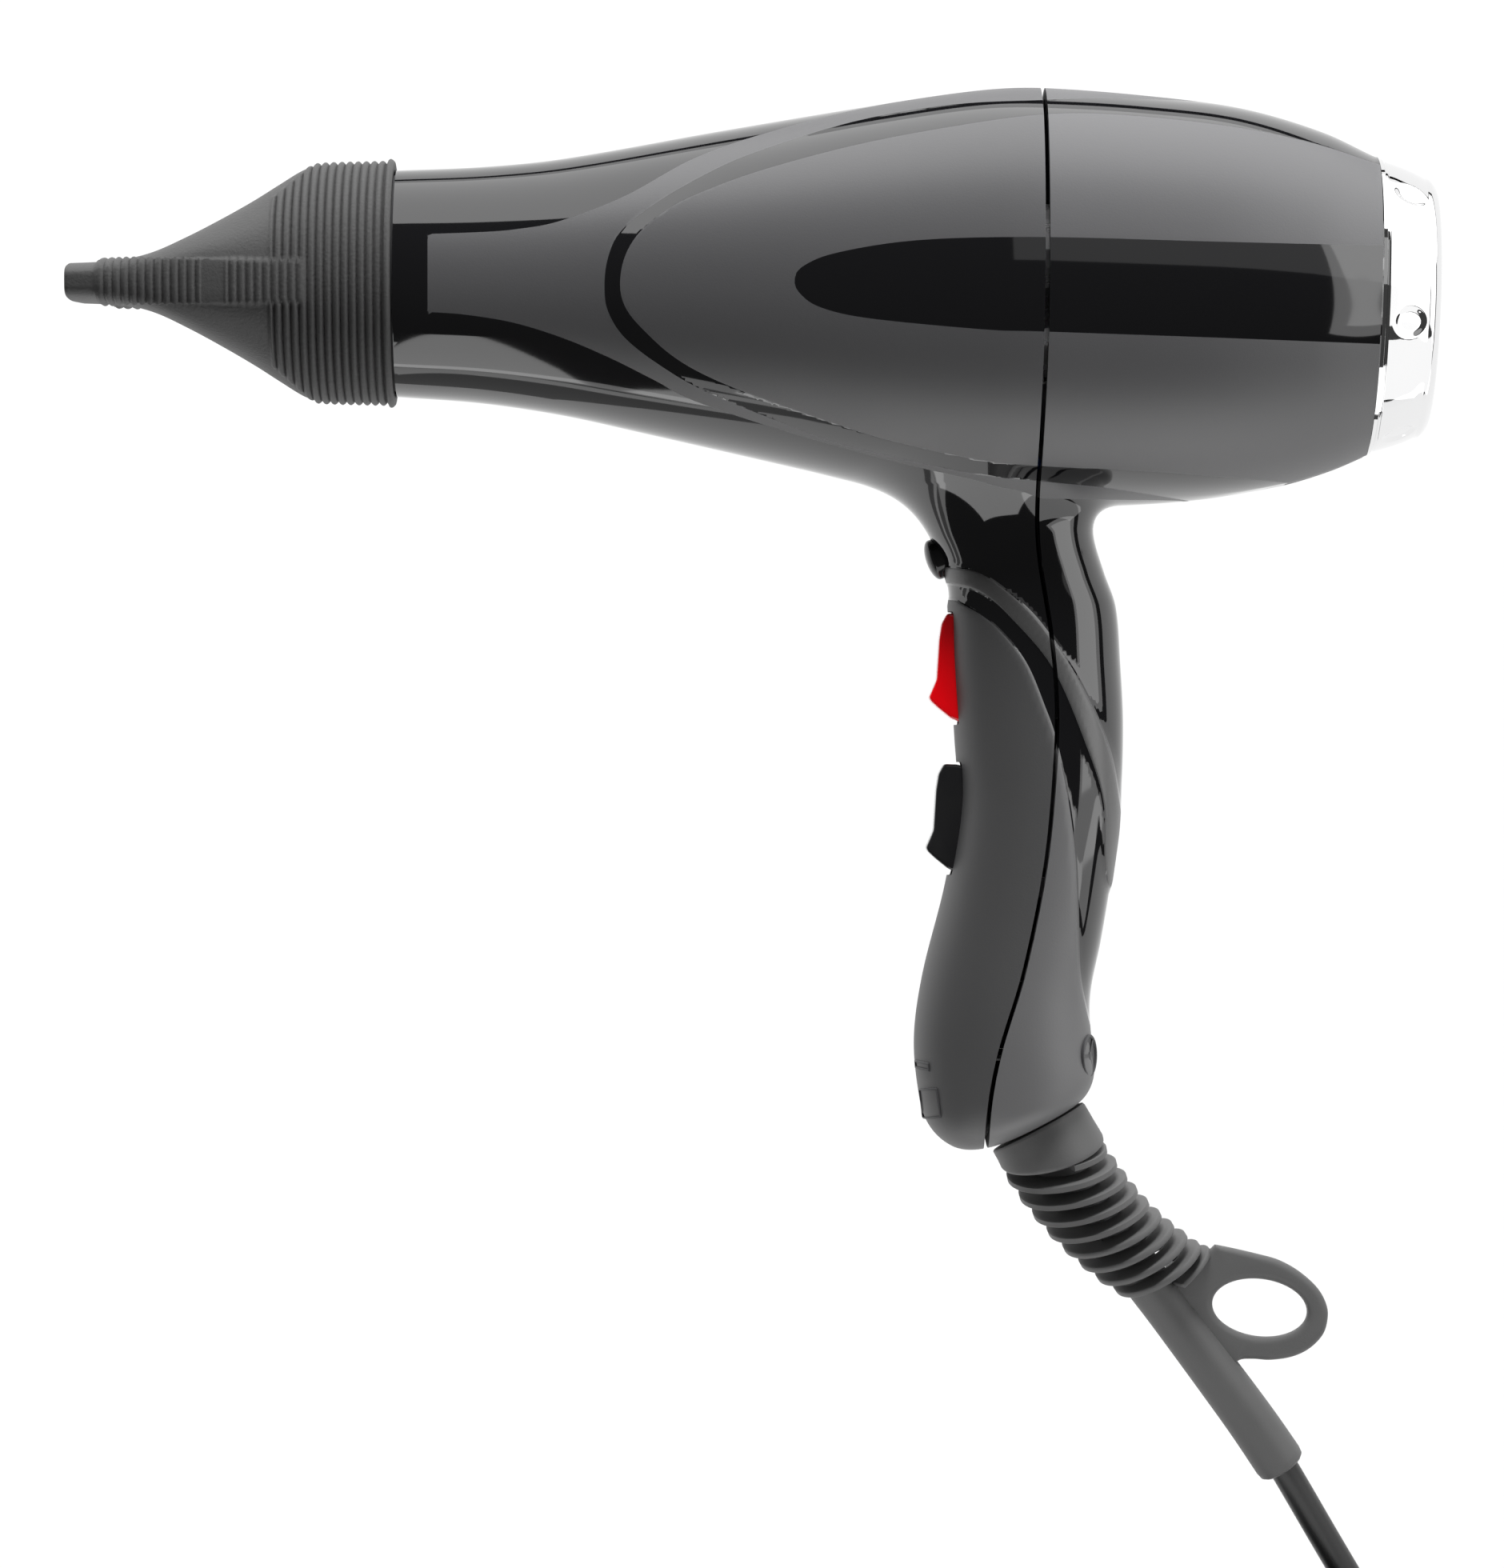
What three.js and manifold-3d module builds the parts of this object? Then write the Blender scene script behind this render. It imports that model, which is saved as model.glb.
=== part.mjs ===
// A salon hair dryer lying on its side: X runs along the barrel from the nozzle to the air inlet,
// Y from the foot of the handle to the top of the barrel, and Z up from the table it lies on.
// All sizes are in millimetres. The design frame has its origin where the housing seam crosses
// the barrel's axis; the finished group is moved so that it stands on Z = 0, centred on the dryer.
import * as THREE from 'three';
import { mergeVertices } from 'three/addons/utils/BufferGeometryUtils.js';
import Module from 'manifold-3d';

const wasm = await Module();
wasm.setup();

// ---------------------------------------------------------------- driving dimensions
const WALL = 2.4;
const GAP = 0.3;
const SEAM_GAP = 0.5;
const TABLE_Z = -38.7;
const MIDDLE = [-57.3, -100.9];

const OUTLET = { front: -144, shoulder: -129.0, axisY: 0.6, outer: 21.6, bore: 19.6 };
const INLET = { x: 65.4, y: -4.0, tiltDeg: 2.05, radius: 29.4, spigot: 26.4 };
const MOTOR_Y = -1.5;
const MOTOR = { front: -14, rear: 26, radius: 18, wall: 1.4 };
const FAN = { front: 38, rear: 52, radius: 25.4, hub: 8, blades: 7, pitchDeg: 42 };
const SHROUD = { front: 22, rear: 55, inner: 26.6, outer: 28.3 };
const SHAFT_R = 1.6;
const HEATER = { front: -118, rear: -38, cross: 12.8, coil: 15.2, wire: 0.8, turns: 8 };
const MICA = { front: -126, rear: -34, inner: 18.0, outer: 18.6 };
const NOZZLE = { tip: -193, rear: -129.4, bore: 22.0, turnDeg: 2.7 };
const ROCKER = { x: -17.5, y: -76.4, half: 5.6, reach: 11.3, pitchY: -30, pitchX: -0.6 };
const SHOT = { x: -21.4, y: -54.6, radius: 4.1, normalDeg: 199.3 };
const SCREW = { x: -7.9, y: -153.6, tiltDeg: 21 };
const CORD_R = 3;
const COIL = { x: 43, y: -309, inner: 24, outer: 42, layers: 4 };
const PLUG = { x: -14, y: COIL.y - COIL.outer, z: TABLE_Z + 13.6, pinPitch: 19, pinR: 2.4 };

// ---------------------------------------------------------------- outlines
// The barrel's top, bottom and half-width along X.
const barrelTop = smooth([
  [-129, 23.1], [-112, 23.8], [-96, 25.4], [-64, 31.0], [-32, 36.3], [-12, 39.1], [0, 39.5], [24, 37.6],
  [40, 35.3], [56, 30.5], [66, 25.6],
]);
const barrelBottom = smooth([
  [-129, -22.1], [-112, -23.4], [-96, -25.8], [-80, -29.3], [-48, -36.6], [-32, -40.3], [-8, -43.6],
  [10, -44.0], [32, -42.6], [48, -39.6], [58, -36.6], [66, -33.2],
]);
const barrelSide = smooth([
  [-129, 22.6], [-96, 25.3], [-48, 34.0], [-8, 38.5], [6, 38.5], [32, 37.2], [52, 33.4], [66, 29.2],
]);
// The handle's front edge, rear edge and half-width along Y.
const handleFront = smooth([
  [-172, -21.5], [-164, -24.2], [-151, -25.9], [-138, -24.2], [-119, -19.7], [-103, -16.9], [-90, -17.2],
  [-75, -18.2], [-64, -18.9], [-57, -20.4], [-51, -22.4], [-47, -24.2], [-43, -28.0], [-39, -36.0],
]);
const handleRear = smooth([
  [-172, 9.0], [-158, 9.9], [-150, 9.4], [-141, 9.6], [-131, 11.6], [-119, 13.6], [-104, 15.6],
  [-88, 16.2], [-75, 15.6], [-64, 14.6], [-57, 12.4], [-50, 10.5], [-47, 11.0], [-44, 15.0], [-41, 22.0],
]);
const handleSide = smooth([
  [-172, 15.0], [-150, 16.4], [-125, 15.2], [-100, 14.6], [-75, 14.6], [-57, 14.2], [-48, 15.0], [-36, 18.5],
]);
// Where the front and rear housings meet, as X along Y.
const seam = smooth([
  [-180, -11.6], [-165, -11.2], [-153, -9.1], [-137, -4.3], [-116, 0.0], [-97, 1.9], [-84, 2.3], [-70, 1.2],
  [-54, -1.2], [-44, -1.8], [-10, -0.6], [45, 0.0],
]);
// The foot of the handle: a round toe in front and a slanting face behind, where the cord leaves.
const FOOT = [
  [-40, -163], [-24.6, -163], [-23.0, -167.5], [-20.0, -171.0], [-15.5, -172.8], [-10.4, -172.8],
  [7.2, -163.1], [9.3, -161.0], [10.2, -157.5], [40, -157.5],
];
// The concentrator nozzle's half-height and half-width, and how square its section is.
const nozzleHeight = smooth([
  [-193, 3.9], [-188, 4.1], [-183, 4.6], [-176.5, 6.3], [-170, 9.3], [-163.7, 12.8], [-157.3, 16.7],
  [-152.5, 19.8], [-148, 22.6], [-144, 23.8], [-129, 24.5],
]);
const nozzleWidth = smooth([
  [-193, 30.0], [-183, 29.6], [-170, 28.4], [-157, 26.4], [-148, 24.9], [-144, 24.3], [-129, 24.5],
]);
const nozzleWall = smooth([[-193, 0.8], [-170, 1.6], [-129, 1.6]]);
const nozzleSquare = smooth([[-193, 4.5], [-176, 4], [-160, 2.6], [-146, 2], [-129, 2]]);

// The bend guard's centre line, from inside the foot of the handle to where the cord leaves it.
const GUARD_LINE = [
  [-0.3, -167.3, 0], [1.1, -169.9, 0], [3.9, -174.7, -0.7], [7.8, -181.2, -3.6], [13.6, -188.8, -7.0], [20.8, -197.4, -10.6],
  [26.6, -206.3, -13.8], [33.9, -215.5, -17.0], [41.2, -225.4, -20.0], [47.8, -235.2, -22.2], [50.0, -238.6, -22.9],
];
const CORD_START = [50.4, -239.2, -23.1];
const CORD_LEAD = [[58.4, -252.8, -28.4], [65.8, -265.2, -32.6], [72.6, -276.6, -35.2]];

// ---------------------------------------------------------------- curve helpers
// A smooth function through [x, y] points given in order of x, constant beyond its ends.
function smooth(points) {
  const slope = (k) => {
    const a = points[Math.max(k - 1, 0)];
    const b = points[Math.min(k + 1, points.length - 1)];
    return (b[1] - a[1]) / (b[0] - a[0]);
  };
  return (x) => {
    const found = points.findIndex((p) => x <= p[0]);
    const i = Math.max(1, found < 0 ? points.length - 1 : found);
    const [x0, y0] = points[i - 1];
    const [x1, y1] = points[i];
    const t = THREE.MathUtils.clamp((x - x0) / (x1 - x0), 0, 1);
    const ease = t * t * (3 - 2 * t);
    const bow = (x1 - x0) * t * (1 - t);
    return y0 + (y1 - y0) * ease + bow * ((1 - t) * slope(i - 1) - t * slope(i));
  };
}

// A point of a superellipse of half-axes a and b; n = 2 is an ellipse and more is squarer.
function superellipse(angle, a, b, n) {
  const c = Math.cos(angle);
  const s = Math.sin(angle);
  return [a * Math.sign(c) * Math.abs(c) ** (2 / n), b * Math.sign(s) * Math.abs(s) ** (2 / n)];
}

// ---------------------------------------------------------------- solids
// A closed three.js geometry as a manifold-3d solid, with its faces turned outwards.
function solid(geometry) {
  const bare = geometry.clone();
  for (const name of Object.keys(bare.attributes)) {
    if (name !== 'position') bare.deleteAttribute(name);
  }
  const merged = mergeVertices(bare, 1e-4);
  const p = merged.getAttribute('position');
  const tri = [];
  const [a, b, c] = [new THREE.Vector3(), new THREE.Vector3(), new THREE.Vector3()];
  let volume = 0;
  for (let i = 0; i < merged.index.count; i += 3) {
    const [i0, i1, i2] = [0, 1, 2].map((k) => merged.index.getX(i + k));
    if (i0 === i1 || i1 === i2 || i2 === i0) continue;
    volume += a.fromBufferAttribute(p, i0).dot(b.fromBufferAttribute(p, i1).cross(c.fromBufferAttribute(p, i2)));
    tri.push([i0, i1, i2]);
  }
  const turned = volume < 0 ? tri.map(([i0, i1, i2]) => [i0, i2, i1]) : tri;
  const mesh = new wasm.Mesh({
    numProp: 3,
    vertProperties: new Float32Array(p.array),
    triVerts: new Uint32Array(turned.flat()),
  });
  return new wasm.Manifold(mesh);
}

// A cylinder geometry whose every point is placed by place(t along, angle, share of the radius).
function loft(around, along, place) {
  const g = new THREE.CylinderGeometry(1, 1, 1, around, along);
  const p = g.getAttribute('position');
  for (let i = 0; i < p.count; i += 1) {
    const share = Math.min(1, Math.hypot(p.getX(i), p.getZ(i)));
    const angle = Math.atan2(p.getZ(i), p.getX(i));
    p.setXYZ(i, ...place(p.getY(i) + 0.5, angle, share));
  }
  return solid(g);
}

const box = (x0, x1, y0, y1, z0, z1) =>
  solid(new THREE.BoxGeometry(x1 - x0, y1 - y0, z1 - z0).translate((x0 + x1) / 2, (y0 + y1) / 2, (z0 + z1) / 2));

// A round bar along X.
const bar = (x0, x1, y, z, r, around = 24) =>
  solid(new THREE.CylinderGeometry(r, r, x1 - x0, around).rotateZ(Math.PI / 2).translate((x0 + x1) / 2, y, z));

// A turned part about X, from [radius, x] points that start and end on the axis or close up.
const turned = (points, y = 0, around = 32) =>
  solid(
    new THREE.LatheGeometry(points.map(([r, x]) => new THREE.Vector2(r, x)), around)
      .rotateZ(-Math.PI / 2)
      .translate(0, y, 0),
  );

const ring = (x0, x1, y, inner, outer, around = 32) =>
  turned([[inner, x0], [outer, x0], [outer, x1], [inner, x1], [inner, x0]], y, around);

// A flat outline in X and Y, drawn thick along Z.
function plate(points, z0, z1) {
  const shape = new THREE.Shape(points.map(([x, y]) => new THREE.Vector2(x, y)));
  return solid(new THREE.ExtrudeGeometry(shape, { depth: z1 - z0, bevelEnabled: false }).translate(0, 0, z0));
}

// A round tube along a smooth line through points.
function tube(points, radius, sides = 8, steps = 4 * points.length) {
  const line = new THREE.CatmullRomCurve3(points.map((q) => new THREE.Vector3(...q)));
  const shape = new THREE.Shape(
    Array.from({ length: sides }, (_, i) => {
      const angle = (2 * Math.PI * i) / sides;
      return new THREE.Vector2(radius * Math.cos(angle), radius * Math.sin(angle));
    }),
  );
  return solid(new THREE.ExtrudeGeometry(shape, { steps, extrudePath: line, bevelEnabled: false }));
}

const union = (first, ...rest) => rest.reduce((all, next) => all.add(next), first);
const cut = (first, ...tools) => tools.reduce((left, tool) => left.subtract(tool), first);

// Places a solid made about the inlet's own axis, with x = 0 at its seat on the housing.
const atInlet = (s) => s.rotate([0, 0, -INLET.tiltDeg]).translate([INLET.x, INLET.y, 0]);

// ---------------------------------------------------------------- materials and nodes
const finish = (color, roughness, metalness = 0) => new THREE.MeshStandardMaterial({ color, roughness, metalness });
const MATERIALS = {
  shell: finish(0x1d1d20, 0.3),
  nozzle: finish(0x262626, 0.75),
  chrome: finish(0xe8e8ea, 0.08, 1),
  rubber: finish(0x2c2c2c, 0.7),
  red: finish(0xc00008, 0.15),
  black: finish(0x141416, 0.2),
  nylon: finish(0x2a2a2c, 0.6),
  steel: finish(0xb0b0b4, 0.35, 1),
  mica: finish(0xb59a6a, 0.6),
  copper: finish(0xb87340, 0.35, 1),
  board: finish(0x3f6b3c, 0.6),
  wire: finish(0x2d4f8a, 0.5),
};

const dryer = new THREE.Group();
const cordSet = new THREE.Group();

function add(name, shape, material, group = dryer) {
  const mesh = shape.getMesh();
  const g = new THREE.BufferGeometry();
  g.setAttribute('position', new THREE.BufferAttribute(new Float32Array(mesh.vertProperties), 3));
  g.setIndex(new THREE.BufferAttribute(new Uint32Array(mesh.triVerts), 1));
  g.computeVertexNormals();
  const made = new THREE.Mesh(g, MATERIALS[material]);
  made.name = name;
  group.add(made);
}

// ---------------------------------------------------------------- housings
// The barrel between two X, shrunk by inset all round.
function barrel(x0, x1, inset, around, along) {
  return loft(around, along, (t, angle, share) => {
    const x = x0 + (x1 - x0) * t;
    const half = (barrelTop(x) - barrelBottom(x)) / 2 - inset;
    const middle = (barrelTop(x) + barrelBottom(x)) / 2;
    const [y, z] = superellipse(angle, share * half, share * (barrelSide(x) - inset), 2.1);
    return [x, middle + y, z];
  });
}

// The handle between two Y, shrunk by inset all round.
function handle(y0, y1, inset, around, along) {
  return loft(around, along, (t, angle, share) => {
    const y = y0 + (y1 - y0) * t;
    const front = handleFront(y) + inset;
    const rear = handleRear(y) - inset;
    const [x, z] = superellipse(angle, (share * (rear - front)) / 2, share * (handleSide(y) - inset), 2.4);
    return [(front + rear) / 2 + x, y, z];
  });
}

// Everything in front of the seam, moved by shift towards the inlet.
function frontOfSeam(shift) {
  const ys = Array.from({ length: 17 }, (_, i) => 60 - i * 15);
  const edge = ys.map((y) => [seam(y) + shift, y]);
  return plate([[-210, 60], ...edge, [-210, -180]].reverse(), -60, 60);
}

function footShape(rise) {
  return plate([...FOOT.map(([x, y]) => [x, y + rise]), [40, -20], [-40, -20]], -40, 40);
}

const guardAxis = new THREE.Vector3(...GUARD_LINE[1]).sub(new THREE.Vector3(...GUARD_LINE[0])).normalize();
const guardTurn = new THREE.Quaternion().setFromUnitVectors(new THREE.Vector3(0, 1, 0), guardAxis);
// A turned part about the bend guard's first stretch, from [radius, distance past the foot] points.
const atFoot = (points, around = 24) =>
  solid(
    new THREE.LatheGeometry(points.map(([r, s]) => new THREE.Vector2(r, s)), around)
      .applyQuaternion(guardTurn)
      .translate(...GUARD_LINE[0]),
  );

const shotNormal = THREE.MathUtils.degToRad(SHOT.normalDeg);
// A round pin through the cool-shot button's seat, from depth d0 to d1 along its outward normal.
const shotPin = (r, d0, d1) =>
  solid(
    new THREE.CylinderGeometry(r, r, d1 - d0, 20)
      .rotateZ(-Math.PI / 2)
      .translate((d0 + d1) / 2, 0, 0)
      .rotateZ(shotNormal)
      .translate(SHOT.x, SHOT.y, 0),
  );

// Places a solid made about the X axis on the tilted screw line at the foot of the handle.
const atScrew = (s) => s.rotate([0, -SCREW.tiltDeg, 0]).translate([SCREW.x, SCREW.y, 0]);

function housings() {
  const past = box(0, 40, -60, 60, -60, 60);
  const outlet = bar(OUTLET.front, OUTLET.shoulder + 4, OUTLET.axisY, 0, OUTLET.outer, 32);
  const outer = union(
    barrel(OUTLET.shoulder, 68, 0, 30, 14),
    handle(-178, -30, 0, 20, 20).intersect(footShape(0)),
    outlet,
  );
  const inner = union(
    barrel(OUTLET.shoulder + WALL, 70, WALL, 24, 9),
    handle(-176, -28, WALL, 14, 10).intersect(footShape(WALL + 0.6)),
    bar(OUTLET.front - 2, OUTLET.shoulder + 6, OUTLET.axisY, 0, OUTLET.bore, 28),
  );
  const shell = cut(outer, inner, atInlet(past));
  const rockers = [0, 1].map((i) => {
    const y = ROCKER.y + i * ROCKER.pitchY;
    return box(-34, -9, y - ROCKER.reach, y + ROCKER.reach, -6.1, 6.1);
  });
  // The screw at the foot: a blind post on the front housing and a sleeve on the rear one.
  const post = atScrew(cut(bar(-13.6, -2.4, 0, 0, 3.4, 16), bar(-9.6, 2, 0, 0, 1.6, 12)));
  const sleeve = atScrew(cut(bar(-1.2, 15.6, 0, 0, 3, 16), bar(-5, 11.8, 0, 0, 1.9, 12)));
  const screwWay = atScrew(union(bar(-5, 13, 0, 0, 1.9, 12), bar(12, 24, 0, 0, 4.3, 20)));
  const front = cut(shell.intersect(frontOfSeam(-SEAM_GAP / 2)), ...rockers, shotPin(4.5, -8, 6));
  const rear = cut(shell, frontOfSeam(SEAM_GAP / 2));
  const cordHole = atFoot([[0, -12], [7.3, -12], [7.3, 9], [0, 9], [0, -12]]);
  add('front_housing', largest(union(front, post)), 'shell');
  add('rear_housing', largest(cut(union(rear, sleeve), screwWay, cordHole)), 'shell');
  const shank = union(bar(-7, 12.4, 0, 0, 1.3, 10), bar(12.3, 13.8, 0, 0, 2.9, 16));
  add('housing_screw', atScrew(shank), 'steel');
  add('screw_cap', atScrew(union(bar(14.4, 16.9, 0, 0, 3.9, 20), bar(16.6, 17.7, 0, 0, 3.2, 20))), 'nylon');
}

// The biggest separate body of a solid, which drops slivers that a cut left behind.
function largest(shape) {
  return shape.decompose().sort((a, b) => b.volume() - a.volume())[0];
}

// ---------------------------------------------------------------- air path
// A flat round grille: rings joined by spokes.
function grille(x0, x1, y, radii, width, outer, spokes, around) {
  const rings = radii.map((r) => ring(x0, x1, y, r - width / 2, r + width / 2, around));
  const rim = ring(x0, x1, y, outer - 2, outer, around);
  const hub = bar(x0, x1, y, 0, radii[0] - width, 16);
  const arms = Array.from({ length: spokes }, (_, i) => {
    const arm = new THREE.BoxGeometry(x1 - x0 - 0.2, outer - 1, width);
    return solid(arm.translate(0, (outer - 1) / 2, 0).rotateX((2 * Math.PI * i) / spokes).translate((x0 + x1) / 2, y, 0));
  });
  return union(rim, hub, ...rings, ...arms);
}

function airPath() {
  add('outlet_grille', grille(-143.2, -141, OUTLET.axisY, [6, 12.6], 1.2, OUTLET.bore - 0.5, 4, 22), 'steel');
  add('heater_sleeve', ring(MICA.front, MICA.rear, OUTLET.axisY, MICA.inner, MICA.outer, 28), 'mica');
  const { front, rear, cross } = HEATER;
  const y = OUTLET.axisY;
  const middle = (front + rear) / 2;
  const plates = union(
    box(front, rear, y - 0.4, y + 0.4, -cross, cross),
    box(front, rear, y - cross, y + cross, -0.4, 0.4),
    bar(front - 3, front + 1, y, 0, 3, 12),
    bar(rear - 1, rear + 3, y, 0, 3, 12),
  );
  add('heater_cross', plates, 'mica');
  const points = Array.from({ length: HEATER.turns * 8 + 1 }, (_, i) => {
    const angle = (2 * Math.PI * i) / 8;
    const x = front + 5 + ((rear - front - 10) * i) / (HEATER.turns * 8);
    return [x, y + HEATER.coil * Math.cos(angle), HEATER.coil * Math.sin(angle)];
  });
  add('heater_coil', tube(points, HEATER.wire, 4, HEATER.turns * 9), 'copper');
  add('thermostat', union(box(rear - 14, rear - 6, y + 2, y + 8, 2, 8), bar(rear - 12, rear - 8, y + 9, 5, 2.6, 12)), 'steel');
  add('thermal_fuse', bar(middle - 8, middle + 6, y - 5, 5, 1.9, 12), 'steel');
}

function motorAndFan() {
  const { front, rear, radius, wall } = MOTOR;
  const inner = radius - wall;
  const can = [
    [inner, front], [radius, front], [radius, rear - 2], [radius - 2, rear], [5.3, rear], [5.3, rear - wall],
    [inner, rear - wall], [inner, front],
  ];
  add('motor_can', turned(can, MOTOR_Y, 28), 'steel');
  const cap = [
    [5.3, front - 2.6], [radius - 1, front - 2.6], [radius - 0.4, front - GAP], [inner - GAP, front - GAP],
    [inner - GAP, front + 3], [inner - 2, front + 3], [inner - 2, front - 1], [5.3, front - 1], [5.3, front - 2.6],
  ];
  add('motor_end_cap', turned(cap, MOTOR_Y, 28), 'nylon');
  for (const [name, x] of [['front_bearing', front - 3.2], ['rear_bearing', rear - 3.4]]) {
    add(name, ring(x, x + 4, MOTOR_Y, SHAFT_R + GAP, 5, 20), 'copper');
  }
  const core = cut(bar(front + 8, rear - 8, MOTOR_Y, 0, 12.5, 24), bar(front, rear, MOTOR_Y, 0, SHAFT_R + GAP, 12));
  const slots = Array.from({ length: 6 }, (_, i) =>
    solid(new THREE.BoxGeometry(40, 7, 2.2).translate(6, 10.5, 0).rotateX((Math.PI * i) / 3).translate(0, MOTOR_Y, 0)),
  );
  add('motor_armature', cut(core, ...slots), 'copper');
  add('motor_shaft', bar(front - 6, FAN.rear + 1, MOTOR_Y, 0, SHAFT_R, 16), 'steel');

  const mountRing = ring(rear - 14, rear - 2.5, MOTOR_Y, radius + GAP, radius + 1.8, 28);
  const duct = ring(SHROUD.front - 10, SHROUD.rear, MOTOR_Y, SHROUD.inner, SHROUD.outer, 36);
  const vanes = Array.from({ length: 6 }, (_, i) =>
    solid(
      new THREE.BoxGeometry(11, SHROUD.inner - radius, 1.4)
        .translate(rear - 8.4, (SHROUD.inner + radius + 1) / 2 + 0.5, 0)
        .rotateX((Math.PI * i) / 3)
        .translate(0, MOTOR_Y, 0),
    ),
  );
  add('fan_housing', union(duct, mountRing, ...vanes), 'nylon');

  const hub = [
    [SHAFT_R + GAP, FAN.front], [FAN.hub + 1, FAN.front], [FAN.hub, FAN.rear - 4], [FAN.hub - 3, FAN.rear],
    [SHAFT_R + GAP, FAN.rear], [SHAFT_R + GAP, FAN.front],
  ];
  const blades = Array.from({ length: FAN.blades }, (_, i) =>
    solid(
      new THREE.BoxGeometry(15, FAN.radius - FAN.hub + 1.5, 1.5)
        .rotateY(THREE.MathUtils.degToRad(FAN.pitchDeg))
        .translate((FAN.front + FAN.rear) / 2 - 0.4, (FAN.radius + FAN.hub) / 2 - 0.8, 0)
        .rotateX((2 * Math.PI * i) / FAN.blades)
        .translate(0, MOTOR_Y, 0),
    ),
  );
  add('impeller', union(turned(hub, MOTOR_Y, 24), ...blades), 'black');
  add('impeller_nut', ring(FAN.rear + GAP, FAN.rear + 3, MOTOR_Y, SHAFT_R + 0.6, 3.6, 6), 'steel');
}

function filterCap() {
  const rim = [
    [24.8, -6], [INLET.spigot, -6], [INLET.spigot, GAP], [INLET.radius, GAP], [INLET.radius, 1.2], [28.9, 1.8],
    [28.2, 5.5], [26.7, 9.4], [24.9, 11.7], [24, 12.2], [22.4, 12.2], [22.0, 11.4], [22.0, 10.6], [24.6, 8],
    [24.8, 4], [24.8, -6],
  ];
  add('filter_ring', atInlet(turned(rim, 0, 32)), 'chrome');
  add('inlet_grille', atInlet(grille(6.7, 8.4, 0, [5.2, 11.2, 17], 1.4, 23.7, 4, 22)), 'black');
  add('filter_mesh', atInlet(bar(5, 5.8, 0, 0, 24.3, 28)), 'steel');
}

// ---------------------------------------------------------------- nozzle
function nozzle() {
  const { tip, rear, bore } = NOZZLE;
  // The nozzle turns on its collar, and rests a little off square.
  const turn = THREE.MathUtils.degToRad(NOZZLE.turnDeg);
  const skin = (x0, x1, hollowed, around, along) =>
    loft(around, along, (t, angle, share) => {
      const x = x0 + (x1 - x0) * t;
      const inset = hollowed ? nozzleWall(x) : 0;
      const [y, z] = superellipse(
        angle, share * (nozzleHeight(x) - inset), share * (nozzleWidth(x) - inset), nozzleSquare(x),
      );
      return [
        x,
        OUTLET.axisY + y * Math.cos(turn) - z * Math.sin(turn),
        y * Math.sin(turn) + z * Math.cos(turn),
      ];
    });
  const hollow = union(
    skin(tip - 2, OUTLET.front - 1, true, 22, 9),
    bar(OUTLET.front - 2, rear + 2, OUTLET.axisY, 0, bore, 30),
  );
  add('nozzle', largest(cut(skin(tip, rear, false, 26, 15), hollow)), 'nozzle');
}

// ---------------------------------------------------------------- controls in the handle
function rocker(name, i, material) {
  const side = [
    [-1.7, 10.75], [-2.8, 8.9], [-3.3, 5.7], [-3.6, 0.9], [-3.8, -2.3], [-4.6, -4.2], [-5.2, -5.8], [-3.5, -7.9],
    [-0.9, -10], [1, -10.75], [5, -9.4], [5, 9.4], [1, 10.8],
  ].map(([x, y]) => [x + ROCKER.x + i * ROCKER.pitchX, y + ROCKER.y + i * ROCKER.pitchY]);
  add(name, plate(side, -ROCKER.half, ROCKER.half), material);
}

function controls() {
  rocker('speed_rocker', 0, 'red');
  rocker('heat_rocker', 1, 'black');
  add('cool_shot_button', union(shotPin(1.6, -9, -2), shotPin(SHOT.radius, -3, 1.1), shotPin(SHOT.radius - 1.2, 1, 1.8)), 'black');
  add('cool_shot_switch', box(-10.5, -3.6, -57.5, -47.5, -3.4, 3.4), 'nylon');
  for (const [name, i] of [['speed_switch', 0], ['heat_switch', 1]]) {
    const y = ROCKER.y + i * ROCKER.pitchY;
    const body = box(-9.4, 5.6, y - 10, y + 10, -6.5, 6.5);
    const tags = [-6, 0, 6].map((d) => box(5, 9.2, y + d - 1.4, y + d + 1.4, -0.4, 0.4));
    add(name, union(body, ...tags), 'nylon');
  }
}

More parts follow.
